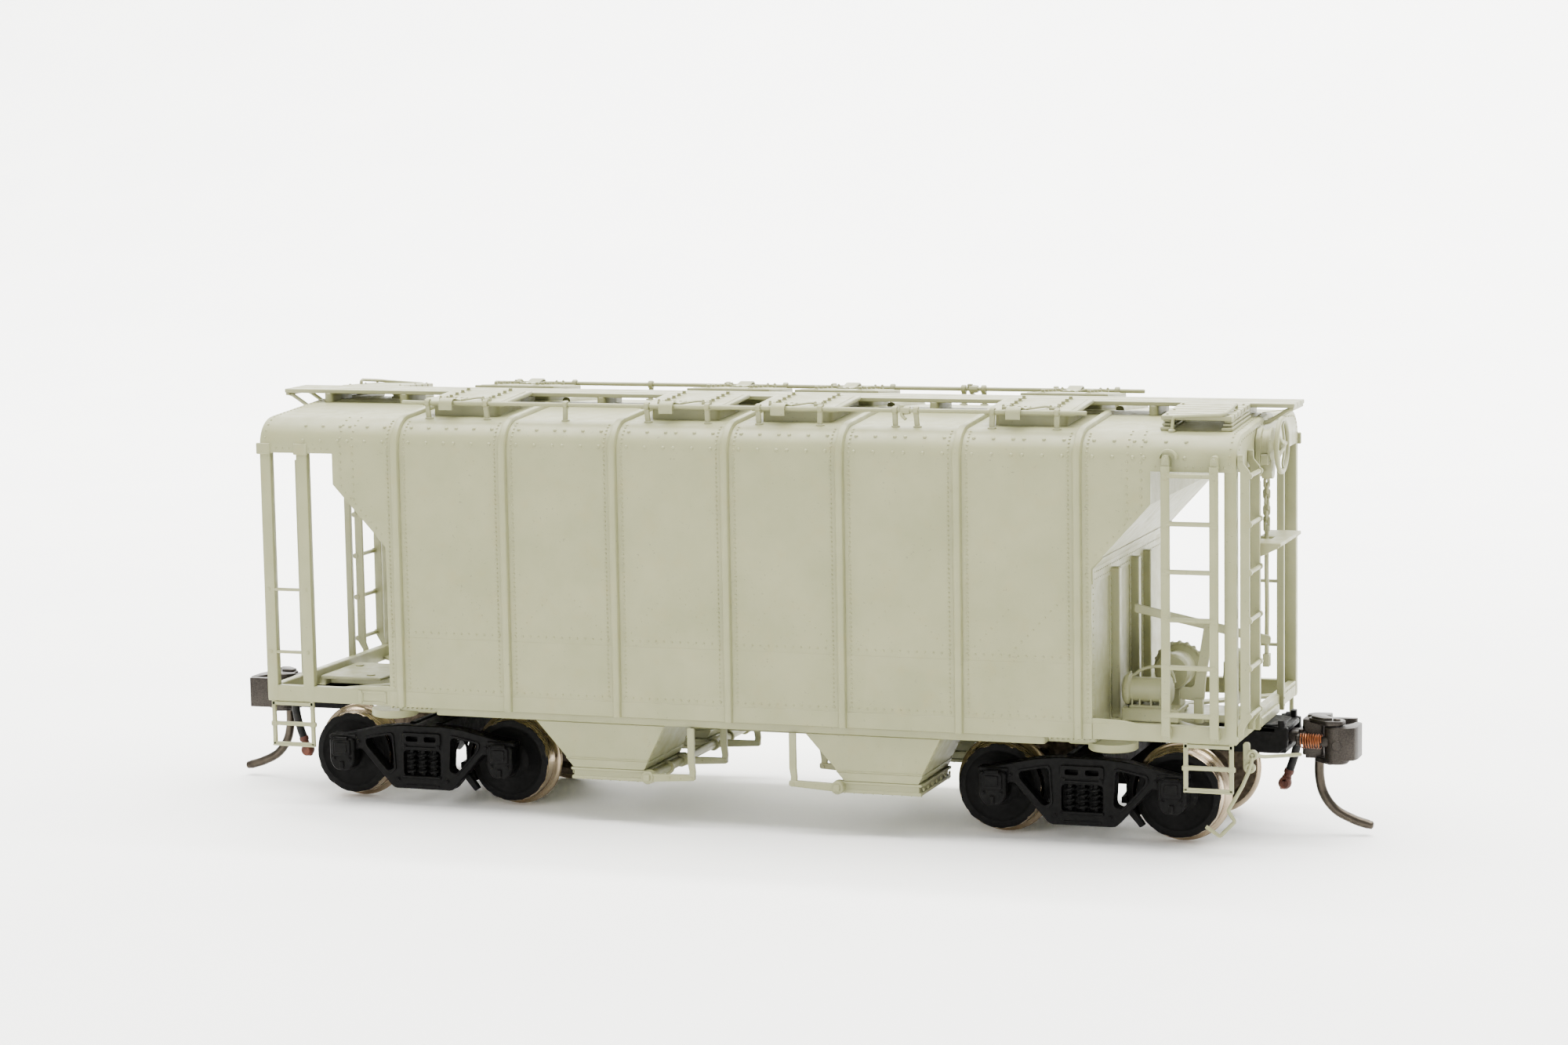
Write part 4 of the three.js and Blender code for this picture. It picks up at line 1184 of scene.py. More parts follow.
def truck_screw_shape():
    shape = Shape()
    head = [(0, 5.9), (1.5, 5.9), (1.9, 6.1), (2.0, 6.4), (2.0, 6.75)]
    shape.turned("z", [*head, (1.0, 6.75), (1.0, 10.9), (0, 10.9)], (0, 0), 24)
    return shape


def tyre_profile():
    """(radius, distance from the middle) round the bright tyre: tread, fillet and flange."""
    back, face = WHEEL["back"], WHEEL["face"]
    tread, flange = WHEEL["tread"], WHEEL["flange"]
    profile = [(4.92, back), (flange - 0.25, back), (flange - 0.06, back + 0.1)]
    for i in range(5):
        angle = TURN / 4 * i / 4
        profile.append((flange - 0.25 * (1 - math.cos(angle)), back + 0.2 + 0.3 * math.sin(angle)))
    profile += [(tread + 0.16, WHEEL["flange_out"]), (tread + 0.05, WHEEL["flange_out"] + 0.22),
                (tread, WHEEL["flange_out"] + 0.5), (tread - 0.06, face - 0.22), (tread - 0.14, face - 0.08),
                (tread - 0.24, face), (4.0, face)]
    return profile


def on_side(profile, side):
    """A (radius, distance from the middle) profile on one side of the axle."""
    return [(radius, side * y) for radius, y in profile]


def wheelset_shapes(seed):
    """The bright tyres, the darker plates with the axle, and the black paint on the outer faces."""
    chance = random.Random(seed)
    ragged = [chance.uniform(-0.07, 0.05) for _ in range(64)]
    tyres, plates, paint = Shape(), Shape(), Shape()
    face, back = WHEEL["face"], WHEEL["back"]
    for side in (-1, 1):
        tyres.tube("y", on_side(tyre_profile(), side), (0, 0), 64)
        plate = [(0.8, back + 0.4), (1.6, back + 0.3), (2.2, back + 0.75), (3.6, back + 0.7),
                 (4.2, back + 0.1), (4.98, back + 0.03), (4.98, back + 0.3), (4.12, face - 0.15),
                 (3.7, face - 0.3), (2.2, face - 0.55), (1.6, face - 0.2), (0.8, face - 0.2)]
        plates.tube("y", on_side(plate, side), (0, 0), 48)
        skin = [(0.75, face - 0.1), (1.5, face - 0.1), (2.1, face - 0.42), (3.6, face - 0.22),
                (3.95, face + 0.03),
                (4.5, face + 0.04), (4.68, face - 0.03), (4.68, face - 0.16), (3.8, face - 0.35),
                (2.1, face - 0.65),
                (0.75, face - 0.3)]
        paint.tube("y", on_side(skin, side), (0, 0), 64, lambda i, k: ragged[i] if k in (6, 7) else 0)
    axle = [(0, -12.74), (0.3, -12.74), (0.68, -12.1), (0.68, -7.6), (0.95, -7.4), (0.95, -6.6), (0.75, -6.2),
            (0.75, 6.2), (0.95, 6.6), (0.95, 7.4), (0.68, 7.6), (0.68, 12.1), (0.3, 12.74), (0, 12.74)]
    plates.turned("y", axle, (0, 0), 24)
    return tyres, plates, paint


BARE_METAL = metallic("wheel_plate_metal", srgb(104, 94, 80), srgb(74, 65, 55), 0.45, 0.65, relief=0.006)


def add_trucks():
    for end in ENDS:
        middle = Vector((centre_x(f"truck_frame_{end}"), 0, 0))
        here = Matrix.Translation(middle)
        body = f"truck_{end}"
        for name, side in SIDES.items():
            mesh = side_frame_mesh(side)
            mesh.transform(Matrix.Translation(middle * MM))
            nodes = [f"truck_frame_{end}"] if name == "r" else []
            piece(f"side_frame_{end}_{name}", mesh, body, BLACK, "black_plastic", *nodes)
            details = Shape()
            details.joined(side_frame_details(side), here)
            piece(f"side_frame_{end}_{name}_fittings", details, body, BLACK, "black_plastic")
        bolster = Shape()
        bolster.joined(truck_middle(), here)
        piece(f"truck_bolster_{end}", bolster, body, BLACK, "black_plastic")
        screw = Shape()
        screw.joined(truck_screw_shape(), here)
        piece(f"truck_screw_{end}_turned", screw, "carbody", STEEL, "ballast_steel", f"truck_screw_{end}")
        for index in (1, 2):
            node = f"wheelset_{end}{index}"
            place = Matrix.Translation((centre_x(node), 0, AXLE_Z))
            names = ("tyres", "axle", "faces")
            materials = (NICKEL, BARE_METAL, BLACK)
            for part, shape, material in zip(names, wheelset_shapes(index), materials):
                placed = Shape()
                placed.joined(shape, place)
                nodes = [node] if part == "tyres" else []
                slot = "black_plastic" if part == "faces" else "nickel_silver"
                piece(f"{node}_{part}", placed, node, material, slot, *nodes)


add_trucks()


# ---- couplers, hoses and uncoupling levers, drawn at the +X end ----
COUPLER = {"pivot": 56.0, "z": 10.8, "knuckle": (65.0, -1.7), "spring_y": -2.27}
HOSE_Y = 4.75
RUST = moulded("glad_hand_rust", srgb(116, 68, 50), srgb(70, 40, 32), 0.45, 0.7, 0.2, 0.02)
PIN_STEEL = metallic("pin_steel", srgb(72, 66, 58), srgb(54, 49, 43), 0.26, 0.4, relief=0.003, grain=0.4)


def coupler_box_shape():
    """The black draft-gear box: an open front, a lid with a raised edge, and two side ears."""
    shape = Shape()
    low, high = edges("coupler_box_b")
    half = high.y
    for side in (-1, 1):
        wall = [(low.x, 0), (high.x - 0.9, 0), (high.x, 0.7), (high.x, high.z - low.z),
                (low.x, high.z - low.z)]
        outline = [(x, low.z + z) for x, z in wall]
        shape.prism("y", outline, side * (half - 0.8), side * half, 0.12)
    shape.box([low.x, high.x - 0.2], [-half + 0.3, half - 0.3], [low.z, 10.0], 0.1)
    lid = [(low.x, -half), (high.x - 1.3, -half), (high.x, -half + 1.2), (high.x, half - 1.2),
           (high.x - 1.3, half), (low.x, half)]
    shape.prism("z", lid, 11.6, high.z, 0.12)
    raised = [(u * 0.9 + 5.3, v * 0.8) for u, v in lid]
    shape.prism("z", raised, high.z - 0.1, high.z + 0.16, 0.08)
    shape.box([low.x, low.x + 1.6], [-half + 0.3, half - 0.3], [low.z, high.z - 0.1], 0.1)
    shape.pin("z", 0.85, 9.8, 11.7, (COUPLER["pivot"], 0), 16)
    screw = [(0, low.z - 0.02), (1.3, low.z - 0.02), (1.4, low.z + 0.1), (1.4, low.z + 0.4), (0, low.z + 0.4)]
    shape.turned("z", screw, (COUPLER["pivot"], 0), 20)
    for side in (-1, 1):
        ear = [(high.x - 0.75 + u * 0.5, side * (half - 0.55) + v) for u,
               v in rounded_rectangle(1.3, 1.1, 0.3)]
        shape.prism("z", ear, high.z - 0.2, high.z + 0.75, 0.12)
    return shape


def coupler_head_shape():
    """Shank, head block, guard arm, top lug and the seat of the knuckle spring."""
    pivot, z = COUPLER["pivot"], COUPLER["z"]
    shape = Shape()
    shape.tube("z", [(0.95, z - 0.6), (2.0, z - 0.6), (2.0, z + 0.6), (0.95, z + 0.6)], (pivot, 0), 28)
    shape.box([pivot + 1.2, 61.6], [-1.3, 1.3], around(z, 0.58), 0.15)
    collar = moved(rounded_rectangle(0.6, 2.6, 0.25), 60.95, 0)
    shape.prism("z", collar, z - 0.85, z + 0.85, 0.12)
    block = [(61.0, -0.9), (63.4, -0.9), (63.4, 2.75), (62.2, 2.75), (61.0, 1.6)]
    guard = [(62.9, 1.6), (64.6, 1.9), (66.4, 2.15), (66.5, 2.95), (62.6, 2.8)]
    horn = [(61.3, 0.6), (63.8, 0.9), (63.8, 2.6), (62.0, 2.5), (61.2, 1.7)]
    lug = [(61.7, -0.8), (64.1, -2.9), (65.7, -2.6), (65.9, -1.1), (63.4, 1.0), (61.8, 0.9)]
    step = [(62.0, -0.9), (63.6, -2.2), (64.6, -1.9), (63.4, 0.2), (62.0, 0.2)]
    for outline, radius, under, top, bevel in (
        (block, 0.45, 8.75, 12.7, 0.3),
        (guard, 0.25, 8.95, 12.45, 0.2),
        (horn, 0.35, 12.5, 12.95, 0.15),
        (lug, 0.35, 12.4, 12.9, 0.14),
        (step, 0.3, 12.8, 13.15, 0.1),
    ):
        shape.prism("z", corner_rounded(outline, radius), under, top, bevel, 2)
    pin_top = [(0, 12.7), (0.42, 12.7), (0.42, 13.0), (0.3, 13.12), (0, 13.12)]
    shape.turned("z", pin_top, COUPLER["knuckle"], 14)
    floor = corner_rounded([(61.3, -0.9), (63.4, -0.9), (63.4, 2.6), (61.8, 2.0)], 0.3)
    shape.prism("z", floor, 8.45, 8.85, 0.12)
    shape.rod([(x, COUPLER["spring_y"], z - 0.2) for x in (60.75, 61.3)], 0.4, 10, (0, 0, 1))
    shape.box([60.6, 61.1], [-2.5, -0.8], [z - 0.75, z + 0.4], 0.12)
    return shape


def knuckle_shape():
    """The swinging knuckle with its curved nose and tail."""
    x, y = COUPLER["knuckle"]
    shape = Shape()
    shape.turned("z", [(0, 8.2), (1.15, 8.2), (1.34, 8.4), (1.34, 12.1), (1.2, 12.3), (0, 12.3)], (x, y), 28)
    nose = [(64.5, -2.95), (66.3, -3.0), (67.05, -2.6), (67.3, -1.7), (67.3, 0.9), (67.0, 1.35), (66.55, 1.3),
            (66.35, 0.5), (65.9, -0.6), (64.9, -0.9)]
    shape.prism("z", corner_rounded(nose, 0.3), 8.7, 12.28, 0.22, 2)
    tail = corner_rounded([(62.4, -0.9), (64.5, -2.8), (65.6, -0.6), (63.3, 0.4), (62.4, 0.2)], 0.3)
    shape.prism("z", tail, 8.12, 8.66, 0.12)
    shape.turned("x", [(0, 63.4), (0.5, 63.4), (0.62, 63.7), (0.62, 64.2), (0, 64.2)],
                 (COUPLER["spring_y"], COUPLER["z"] - 0.2), 12)
    boss = [(65.2 + u * 0.9, 10.3 + v) for u, v in circle(0.62, 14)]
    shape.prism("y", boss, -3.14, -2.9, 0.08)
    return shape


def trip_pin_shape():
    """The curved steel trip pin that hangs from the knuckle, flattened at its end."""
    route = [(62.85, -0.4, 8.6), (62.87, -0.4, 6.4), (63.35, -0.32, 4.4), (64.6, -0.2, 2.75),
             (66.5, -0.1, 1.75),
             (68.1, 0, 1.25), (68.72, 0, 1.15)]
    path = curve_through(route, 5)
    rings = []
    last = len(path) - 1
    for i, (point, side, up) in enumerate(sweep_frames(path, (1, 0, 0))):
        shrink = 1.0 if i < last - 1 else (0.9 if i < last else 0.55)
        flat = 1.0 if i < last - 4 else 0.88
        rings.append([point + side * u * shrink + up * v * shrink * flat for u, v in circle(0.52, 14)])
    shape = Shape()
    shape.loft(rings)
    return shape


def knuckle_spring_shape():
    low, high = edges("knuckle_spring_b")
    y, z = (low.y + high.y) / 2, (low.z + high.z) / 2
    turns, steps, wire, coil = 8.5, 20, 0.065, 0.78
    length = high.x - low.x - 2 * wire
    path = helix("x", coil, (y, z), low.x + wire, length, turns, steps)
    shape = Shape()
    shape.rod(path, wire, 8, (0, 1, 0))
    return shape


def hose_shapes():
    """The moulded air hose, and the glad hand with its clamp at the end."""
    places = [(58.1, 12.0), (58.9, 11.9), (59.35, 11.0), (59.4, 9.4), (59.0, 7.4), (58.35, 5.5)]
    route = [(x, HOSE_Y, z) for x, z in places]
    hose, metal = Shape(), Shape()
    hose.rod(curve_through(route, 5), 0.47, 14, (0, 1, 0))
    hose.pin("z", 0.62, 11.4, 12.2, (58.2, HOSE_Y), 12)
    down = (Vector(route[-1]) - Vector(route[-2])).normalized()
    start = Vector(route[-1]) - down * 0.5
    for offset, radius, length in ((0, 0.57, 0.5), (0.5, 0.47, 0.35), (0.85, 0.54, 0.35)):
        path = [start + down * offset, start + down * (offset + length)]
        metal.sweep(path, circle(radius, 12), (0, 1, 0), 0.06)
    head = start + down * 1.65
    metal.turned("y", [(0, 4.1), (0.5, 4.1), (0.7, 4.35), (0.75, 4.75), (0.7, 5.15), (0.5, 5.4), (0, 5.4)],
                 (head.x, head.z), 16)
    metal.turned("y", [(0, 4.0), (0.26, 4.0), (0.3, 4.3), (0, 4.3)], (head.x, head.z), 12)
    metal.box([head.x - 0.55, head.x + 0.3], [4.45, 5.05], [head.z - 0.72, head.z - 0.1], 0.12, 2)
    metal.box(around(head.x, 0.3), [4.1, 5.35], [head.z + 0.2, head.z + 0.6], 0.1)
    return hose, metal


def uncoupling_lever_shape():
    """A bracket with two eyelets, the lever's arm to the coupler and its bent handle."""
    shape = Shape()
    plate = [(57.16, 12.2), (57.85, 12.2), (57.9, 9.3), (57.6, 8.8), (57.2, 9.3)]
    shape.prism("y", corner_rounded(plate, 0.25), -13.3, -12.75, 0.08)
    for x, z in ((58.2, 10.9), (57.95, 9.5)):
        ring = []
        for i in range(16):
            out = Vector((math.cos(TURN * i / 16), 0, math.sin(TURN * i / 16)))
            ring.append([Vector((x, -13.25, z)) + out * (0.42 + u) + Vector((0, v, 0))
                         for u, v in rounded_rectangle(0.3, 0.62, 0.1, 2)])
        shape.loft(ring, closed=True)
        shape.rod([(x, -13.5, z), (x, -12.9, z)], 0.2, 8, (0, 0, 1))
    handle = [(58.2, -13.45, 10.7), (58.15, -13.5, 10.2), (57.95, -13.5, 9.4), (57.2, -13.7, 7.6),
              (56.3, -14.0, 5.9), (55.75, -14.2, 4.95), (56.5, -14.25, 3.8), (54.9, -14.4, 2.15),
              (53.4, -14.4, 3.15)]
    shape.rod(rounded(handle, 0.18), 0.21, 8, (0, 1, 0))
    arm = [(58.2, -13.4, 10.9), (58.5, -12.6, 10.8), (58.9, -11.4, 10.4), (59.8, -8, 9.9),
           (61.5, -4.25, 9.45)]
    shape.rod(rounded(arm, 0.8), 0.21, 8, (0, 0, 1))
    return shape


def add_couplers():
    add_at_both_ends("draft_box_{}", coupler_box_shape(), "carbody", BLACK, "black_plastic", "coupler_box_{}")
    add_at_both_ends("coupler_{}_head", coupler_head_shape(), "coupler_{}", SINTERED,
                     "cast_metal", "coupler_{}")
    add_at_both_ends("knuckle_{}_jaw", knuckle_shape(), "knuckle_{}", SINTERED, "cast_metal", "knuckle_{}")
    add_at_both_ends("trip_pin_{}", trip_pin_shape(), "knuckle_{}", PIN_STEEL, "cast_metal")
    add_at_both_ends("knuckle_spring_{}_coil", knuckle_spring_shape(), "coupler_{}", COPPER, "spring_copper",
                     "knuckle_spring_{}")
    hose, glad_hand = hose_shapes()
    add_at_both_ends("air_hose_{}_tube", hose, "carbody", RUBBER, "hose_rubber", "air_hose_{}")
    add_at_both_ends("glad_hand_{}", glad_hand, "carbody", RUST, "hose_rubber")
    paint_both_ends("uncoupling_lever_{}_rod", uncoupling_lever_shape(), "uncoupling_lever_{}")


add_couplers()


# ---- hopper bays and their outlet gates ----
CHUTE_TOP, CHUTE_BOTTOM = (-7.7, 7.9), (-3.1, 5.3)
CHUTE_Y = (4.4, 15.55)
CHUTE_Z = (6.3, 11.42)
GATE_Z = 4.95
LIP_TOP = 7.25
SHAFT = {"z": 5.6, "radius": 0.5, "reach": 16.2}
LINK_YS = (-15.9, -5.5, 5.5, 15.9)


def bay_middle(end_name):
    return edges(f"hopper_bay_{end_name}")[0].x - CHUTE_TOP[0]


def weld_bead(shape, start, end, radius, seed):
    """A rough bead of filler along a seam."""
    chance = random.Random(seed)
    start, end = Vector(start), Vector(end)
    count = round((end - start).length / 0.28)
    rings = []
    path = [start.lerp(end, i / count) for i in range(count + 1)]
    for point, side, up in sweep_frames(path, (0, 0, 1)):
        swell = radius * chance.uniform(0.75, 1.25)
        rings.append([point + side * u + up * v for u, v in circle(swell, 8)])
    shape.loft(rings)


def hopper_bay_shape(end_name):
    """Two tapering chutes with lipped mouths, corner seams and the box that ties them together."""
    x = bay_middle(end_name)
    bottom, top = CHUTE_Z
    shape = Shape()

    def chute_x(which, z):
        share = (z - bottom) / (top - bottom)
        return x + CHUTE_BOTTOM[which] + (CHUTE_TOP[which] - CHUTE_BOTTOM[which]) * share

    for side in SIDES.values():
        inner, outer = side * CHUTE_Y[0], side * CHUTE_Y[1]
        walls = [(chute_x(0, bottom), bottom), (chute_x(1, bottom), bottom), (chute_x(1, top), top),
                 (chute_x(0, top), top)]
        shape.prism("y", walls, inner, outer - side * 0.06, 0.08)
        lip = [(chute_x(0, bottom) - 0.08, bottom), (chute_x(1, bottom) + 0.08, bottom),
               (chute_x(1, LIP_TOP) + 0.08, LIP_TOP), (chute_x(0, LIP_TOP) - 0.08, LIP_TOP)]
        shape.prism("y", lip, inner - side * 0.04, outer + side * 0.02, 0.05)
        seam = [(chute_x(which, 7.35), outer - side * 0.05, 7.33) for which in (0, 1)]
        weld_bead(shape, *seam, 0.1, 3 + side)
        for which, out in ((0, -1), (1, 1)):
            for y in (inner + side * 0.35, outer - side * 0.4):
                foot = (chute_x(which, 7.4) + out * 0.03, y, 7.4)
                head = (chute_x(which, top) + out * 0.03, y, top)
                shape.rivets(foot, head, 0.85, (out, 0, -0.6), 0.13)
    shape.box(around(x, 2.5), [-CHUTE_Y[0] - 0.5, CHUTE_Y[0] + 0.5], [7.3, 8.5], 0.12)
    return shape


def gate_frame(shape, left, right, side):
    """Flange, sliding gate and side rails under one chute mouth."""
    ys = [side * (CHUTE_Y[0] - 0.2), side * CHUTE_Y[1]]
    top = CHUTE_Z[0] - 0.03
    shape.box([left - 0.4, right + 0.4], ys, [top - 0.3, top], 0.05)
    shape.box([left - 0.1, right + 0.1], [ys[0] + side * 0.3, ys[1] - side * 0.15], [5.3, top - 0.28], 0.05)
    shape.box([left - 0.35, right + 0.35], [ys[0] + side * 0.1, ys[1] - side * 0.05], [GATE_Z, 5.34], 0.07)
    for y in (ys[0] + side * 0.55, ys[1] - side * 0.5):
        shape.rivets((left - 0.2, y, GATE_Z - 0.02), (right + 0.2, y, GATE_Z - 0.02), 1.1, (0, 0, -1), 0.15)
    for x in (left - 0.4, right + 0.4):
        out = -1 if x < (left + right) / 2 else 1
        for i in range(7):
            y = ys[0] + (ys[1] - ys[0]) * (i + 0.5) / 7
            shape.bolt((x, y, top - 0.62), (out, 0, 0), 0.16, 0.1)


def linkage(shape, shaft_x, strap_x, y, toward):
    """A tapered arm on the shaft and the flat strap that it hangs from."""
    z = SHAFT["z"]
    arm = corner_rounded([(shaft_x - toward * 0.5, z + 0.4), (shaft_x - toward * 0.5, z - 0.5),
                          (strap_x + toward * 0.42, z - 0.1), (strap_x + toward * 0.42, z + 0.55)], 0.2)
    shape.prism("y", arm, y - 0.27, y + 0.27, 0.07)
    hub = [(0, y - 0.42), (0.66, y - 0.42), (0.74, y - 0.3), (0.74, y + 0.3), (0.66, y + 0.42), (0, y + 0.42)]
    shape.turned("y", hub, (shaft_x, z), 20)
    strap = [(strap_x - 0.4, CHUTE_Z[1]), (strap_x - 0.4, z + 1.9), (strap_x - 0.22, z + 0.9),
             (strap_x - 0.28, z + 0.02), (strap_x + 0.38, z + 0.02), (strap_x + 0.5, z + 0.9),
             (strap_x + 0.4, z + 1.9), (strap_x + 0.4, CHUTE_Z[1])]
    shape.prism("y", strap, y - 0.2, y + 0.2, 0.06)
    out = 1 if y > 0 else -1
    for x, radius in ((strap_x, 0.24), ((shaft_x + strap_x) / 2, 0.13), (strap_x - toward * 1.3, 0.13)):
        shape.turned("y", [(0, y + out * 0.15), (radius, y + out * 0.15), (radius * 0.9, y + out * 0.38),
                           (0, y + out * 0.4)], (x, z + 0.1), 10)


def outlet_gates_shape(end_name):
    """Both gate frames of a bay on their operating shaft, with arms and straps."""
    x, end = bay_middle(end_name), ENDS[end_name]
    left, right = x + CHUTE_BOTTOM[0], x + CHUTE_BOTTOM[1]
    shaft_x = left - 0.7 if end > 0 else right + 0.7
    strap_x = shaft_x - end * 5.2
    shape = Shape()
    for side in SIDES.values():
        gate_frame(shape, left, right, side)
    radius, reach, z = SHAFT["radius"], SHAFT["reach"], SHAFT["z"]
    shape.pin("y", radius, -reach + 0.2, reach - 0.2, (shaft_x, z), 16)
    for side in SIDES.values():
        knob = moved(rounded_rectangle(0.72, 0.72, 0.12, 2), shaft_x, z)
        shape.prism("y", knob, side * (reach - 0.35), side * (reach + 0.35), 0.06)
        for y in (CHUTE_Y[1] - 0.25, CHUTE_Y[0] + 0.3, 9.9):
            boss = [(0, side * (y - 0.22)), (0.72, side * (y - 0.22)), (0.78, side * (y - 0.1)),
                    (0.78, side * (y + 0.1)), (0.72, side * (y + 0.22)), (0, side * (y + 0.22))]
            shape.turned("y", boss, (shaft_x, z), 18)
    for y in LINK_YS:
        linkage(shape, shaft_x, strap_x, y, -end)
    return shape


def add_hoppers():
    for end_name in ENDS:
        paint_piece(f"hopper_bay_{end_name}_chutes", hopper_bay_shape(end_name), f"hopper_bay_{end_name}")
        paint_piece(f"outlet_gates_{end_name}_gear", outlet_gates_shape(end_name), f"outlet_gates_{end_name}")


add_hoppers()


# ---- hand brake ----
BRAKE = {"y": -5.5, "z": 43.2, "radius": 3.1, "x": centre_x("brake_wheel") - 0.025}


def hoop(shape, path, normal, section):
    """Carries a section of (outward, sideways) points round a flat closed path."""
    normal = Vector(normal).normalized()
    rings = []
    for i, point in enumerate(path):
        along = (Vector(path[(i + 1) % len(path)]) - Vector(path[i - 1])).normalized()
        out = along.cross(normal)
        rings.append([Vector(point) + out * u + normal * v for u, v in section])
    shape.loft(rings, closed=True)


def brake_wheel_shape():
    """A thick round rim on five curved spokes, with a hub and its nut."""
    x, y, z, radius = BRAKE["x"], BRAKE["y"], BRAKE["z"], BRAKE["radius"]
    shape = Shape()
    middle = radius - 0.27
    rim = [(x, y + middle * c, z + middle * s) for c, s in circle(1.0, 40)]
    hoop(shape, rim, (1, 0, 0), rounded_rectangle(0.52, 0.5, 0.2, 3))
    for i in range(5):
        angle = TURN * i / 5
        out = Vector((0, math.cos(angle), math.sin(angle)))
        route = [Vector((x + 0.22, y, z)) + out * 0.3, Vector((x + 0.1, y, z)) + out * 1.2,
                 Vector((x - 0.08, y, z)) + out * 2.1, Vector((x, y, z)) + out * (middle - 0.05)]
        shape.sweep(curve_through(route, 4), rounded_rectangle(0.42, 0.26, 0.1, 2), (1, 0, 0))
    shape.turned("x", [(0, x - 0.3), (0.6, x - 0.3), (0.7, x), (0.55, x + 0.32), (0, x + 0.34)], (y, z), 20)
    shape.bolt((x + 0.3, y, z), (1, 0, 0), 0.27, 0.12)
    return shape


def brake_housing_shape():
    """Back plate, round gear case with its flange, bearing block and the sump below."""
    low, high = edges("brake_gear_housing")
    y, z = BRAKE["y"], BRAKE["z"]
    shape = Shape()
    plate = corner_rounded([(low.y, 39.9), (high.y - 0.5, 39.9), (high.y, 41), (high.y, 44), (high.y - 1, 45),
                            (low.y + 1, 45), (low.y, 44)], 0.35)
    shape.prism("x", plate, END_X + 0.05, END_X + 0.6, 0.1)
    case = [(0, END_X + 0.3), (1.9, END_X + 0.3), (1.9, END_X + 0.62), (1.68, END_X + 0.72),
            (1.68, END_X + 1.35), (1.9, END_X + 1.42), (1.9, END_X + 1.66), (1.45, END_X + 1.85),
            (0.8, END_X + 1.95), (0.7, high.x), (0, high.x)]
    shape.turned("x", case, (y, z), 32)
    for i in range(8):
        angle = TURN * (i + 0.5) / 8
        at = (END_X + 1.62, y + 1.72 * math.cos(angle), z + 1.72 * math.sin(angle))
        shape.bolt(at, (1, 0, 0), 0.15, 0.12)
    sump = corner_rounded([(y - 1, 42.2), (y - 1, 40.4), (y - 0.5, 39.6), (y + 0.5, 39.6), (y + 1, 40.4),
                           (y + 1, 42.2)], 0.3)
    shape.prism("x", sump, END_X + 0.5, END_X + 1.7, 0.15, 2)
    shape.box([END_X + 0.5, END_X + 1.5], [y - 1.75, y - 0.9], [41.2, 42.4], 0.15)
    for dy, bolt_z in ((-1.25, 40.4), (-1.25, 44.2), (1.0, 44.2), (1.05, 41)):
        shape.bolt((END_X + 0.6, y + dy, bolt_z), (1, 0, 0), 0.2, 0.14)
    return shape


def brake_chain_shape():
    """Twisted chain links over a rod that ends in a clevis."""
    low, high = edges("brake_chain")
    x, y = END_X + 0.95, BRAKE["y"]
    shape = Shape()
    wire, half, straight = 0.18, 0.25, 0.25
    pitch = 2 * (half + straight) - 2.3 * wire
    top = high.z - half - straight + 0.1
    count = int((top - 34.2) / pitch)
    for i in range(count + 1):
        centre = Vector((x, y, top - i * pitch))
        twist = math.radians(45 + 68 * i)
        wide = Vector((math.cos(twist), math.sin(twist), 0))
        path = []
        for k in range(16):
            angle = TURN * k / 16
            lift = straight * (1 if math.sin(angle) >= 0 else -1)
            path.append(centre + wide * half * math.cos(angle) + Vector((0, 0,
                                                                         half * math.sin(angle) + lift)))
        hoop(shape, path, wide.cross(Vector((0, 0, 1))), circle(wire, 8))
    bends = [(x, y, 20.3), (x, y + 0.05, 23), (x, y + 0.16, 26), (x, y - 0.06, 29.5),
             (x, y, 32), (x, y, 34.3)]
    shape.rod(curve_through(bends, 4), 0.24, 10, (1, 0, 0))
    shape.turned("z", [(0, 34), (0.32, 34), (0.36, 34.3), (0.3, 34.6), (0, 34.6)], (x, y), 12)
    for dy in (-0.34, 0.34):
        shape.box(around(x, 0.36), around(y + dy, 0.12), [low.z, 20.6], 0.05)
    shape.box(around(x, 0.36), around(y, 0.4), [20.2, 20.6], 0.08)
    shape.pin("y", 0.18, y - 0.5, y + 0.5, (x, 19.6), 10)
    return shape


def brake_platform_shape():
    """A thin step plate, notched for the chain, on two triangular gussets."""
    low, high = edges("brake_platform")
    under = high.z - 0.4
    near, far, deep = BRAKE["y"] - 1.25, BRAKE["y"] + 0.65, low.x + 1.65
    outline = [(low.x, low.y), (high.x, low.y), (high.x, high.y), (low.x, high.y), (low.x, far), (deep, far),
               (deep, near), (low.x, near)]
    shape = Shape()
    shape.prism("z", outline, under, high.z, 0.07)
    gusset = [(low.x, under + 0.1), (high.x - 0.2, under + 0.1), (high.x - 0.25, under - 0.15),
              (low.x + 0.3, low.z), (low.x, low.z)]
    for y in (low.y, high.y - 0.35):
        shape.prism("y", gusset, y, y + 0.35, 0.05)
    return shape


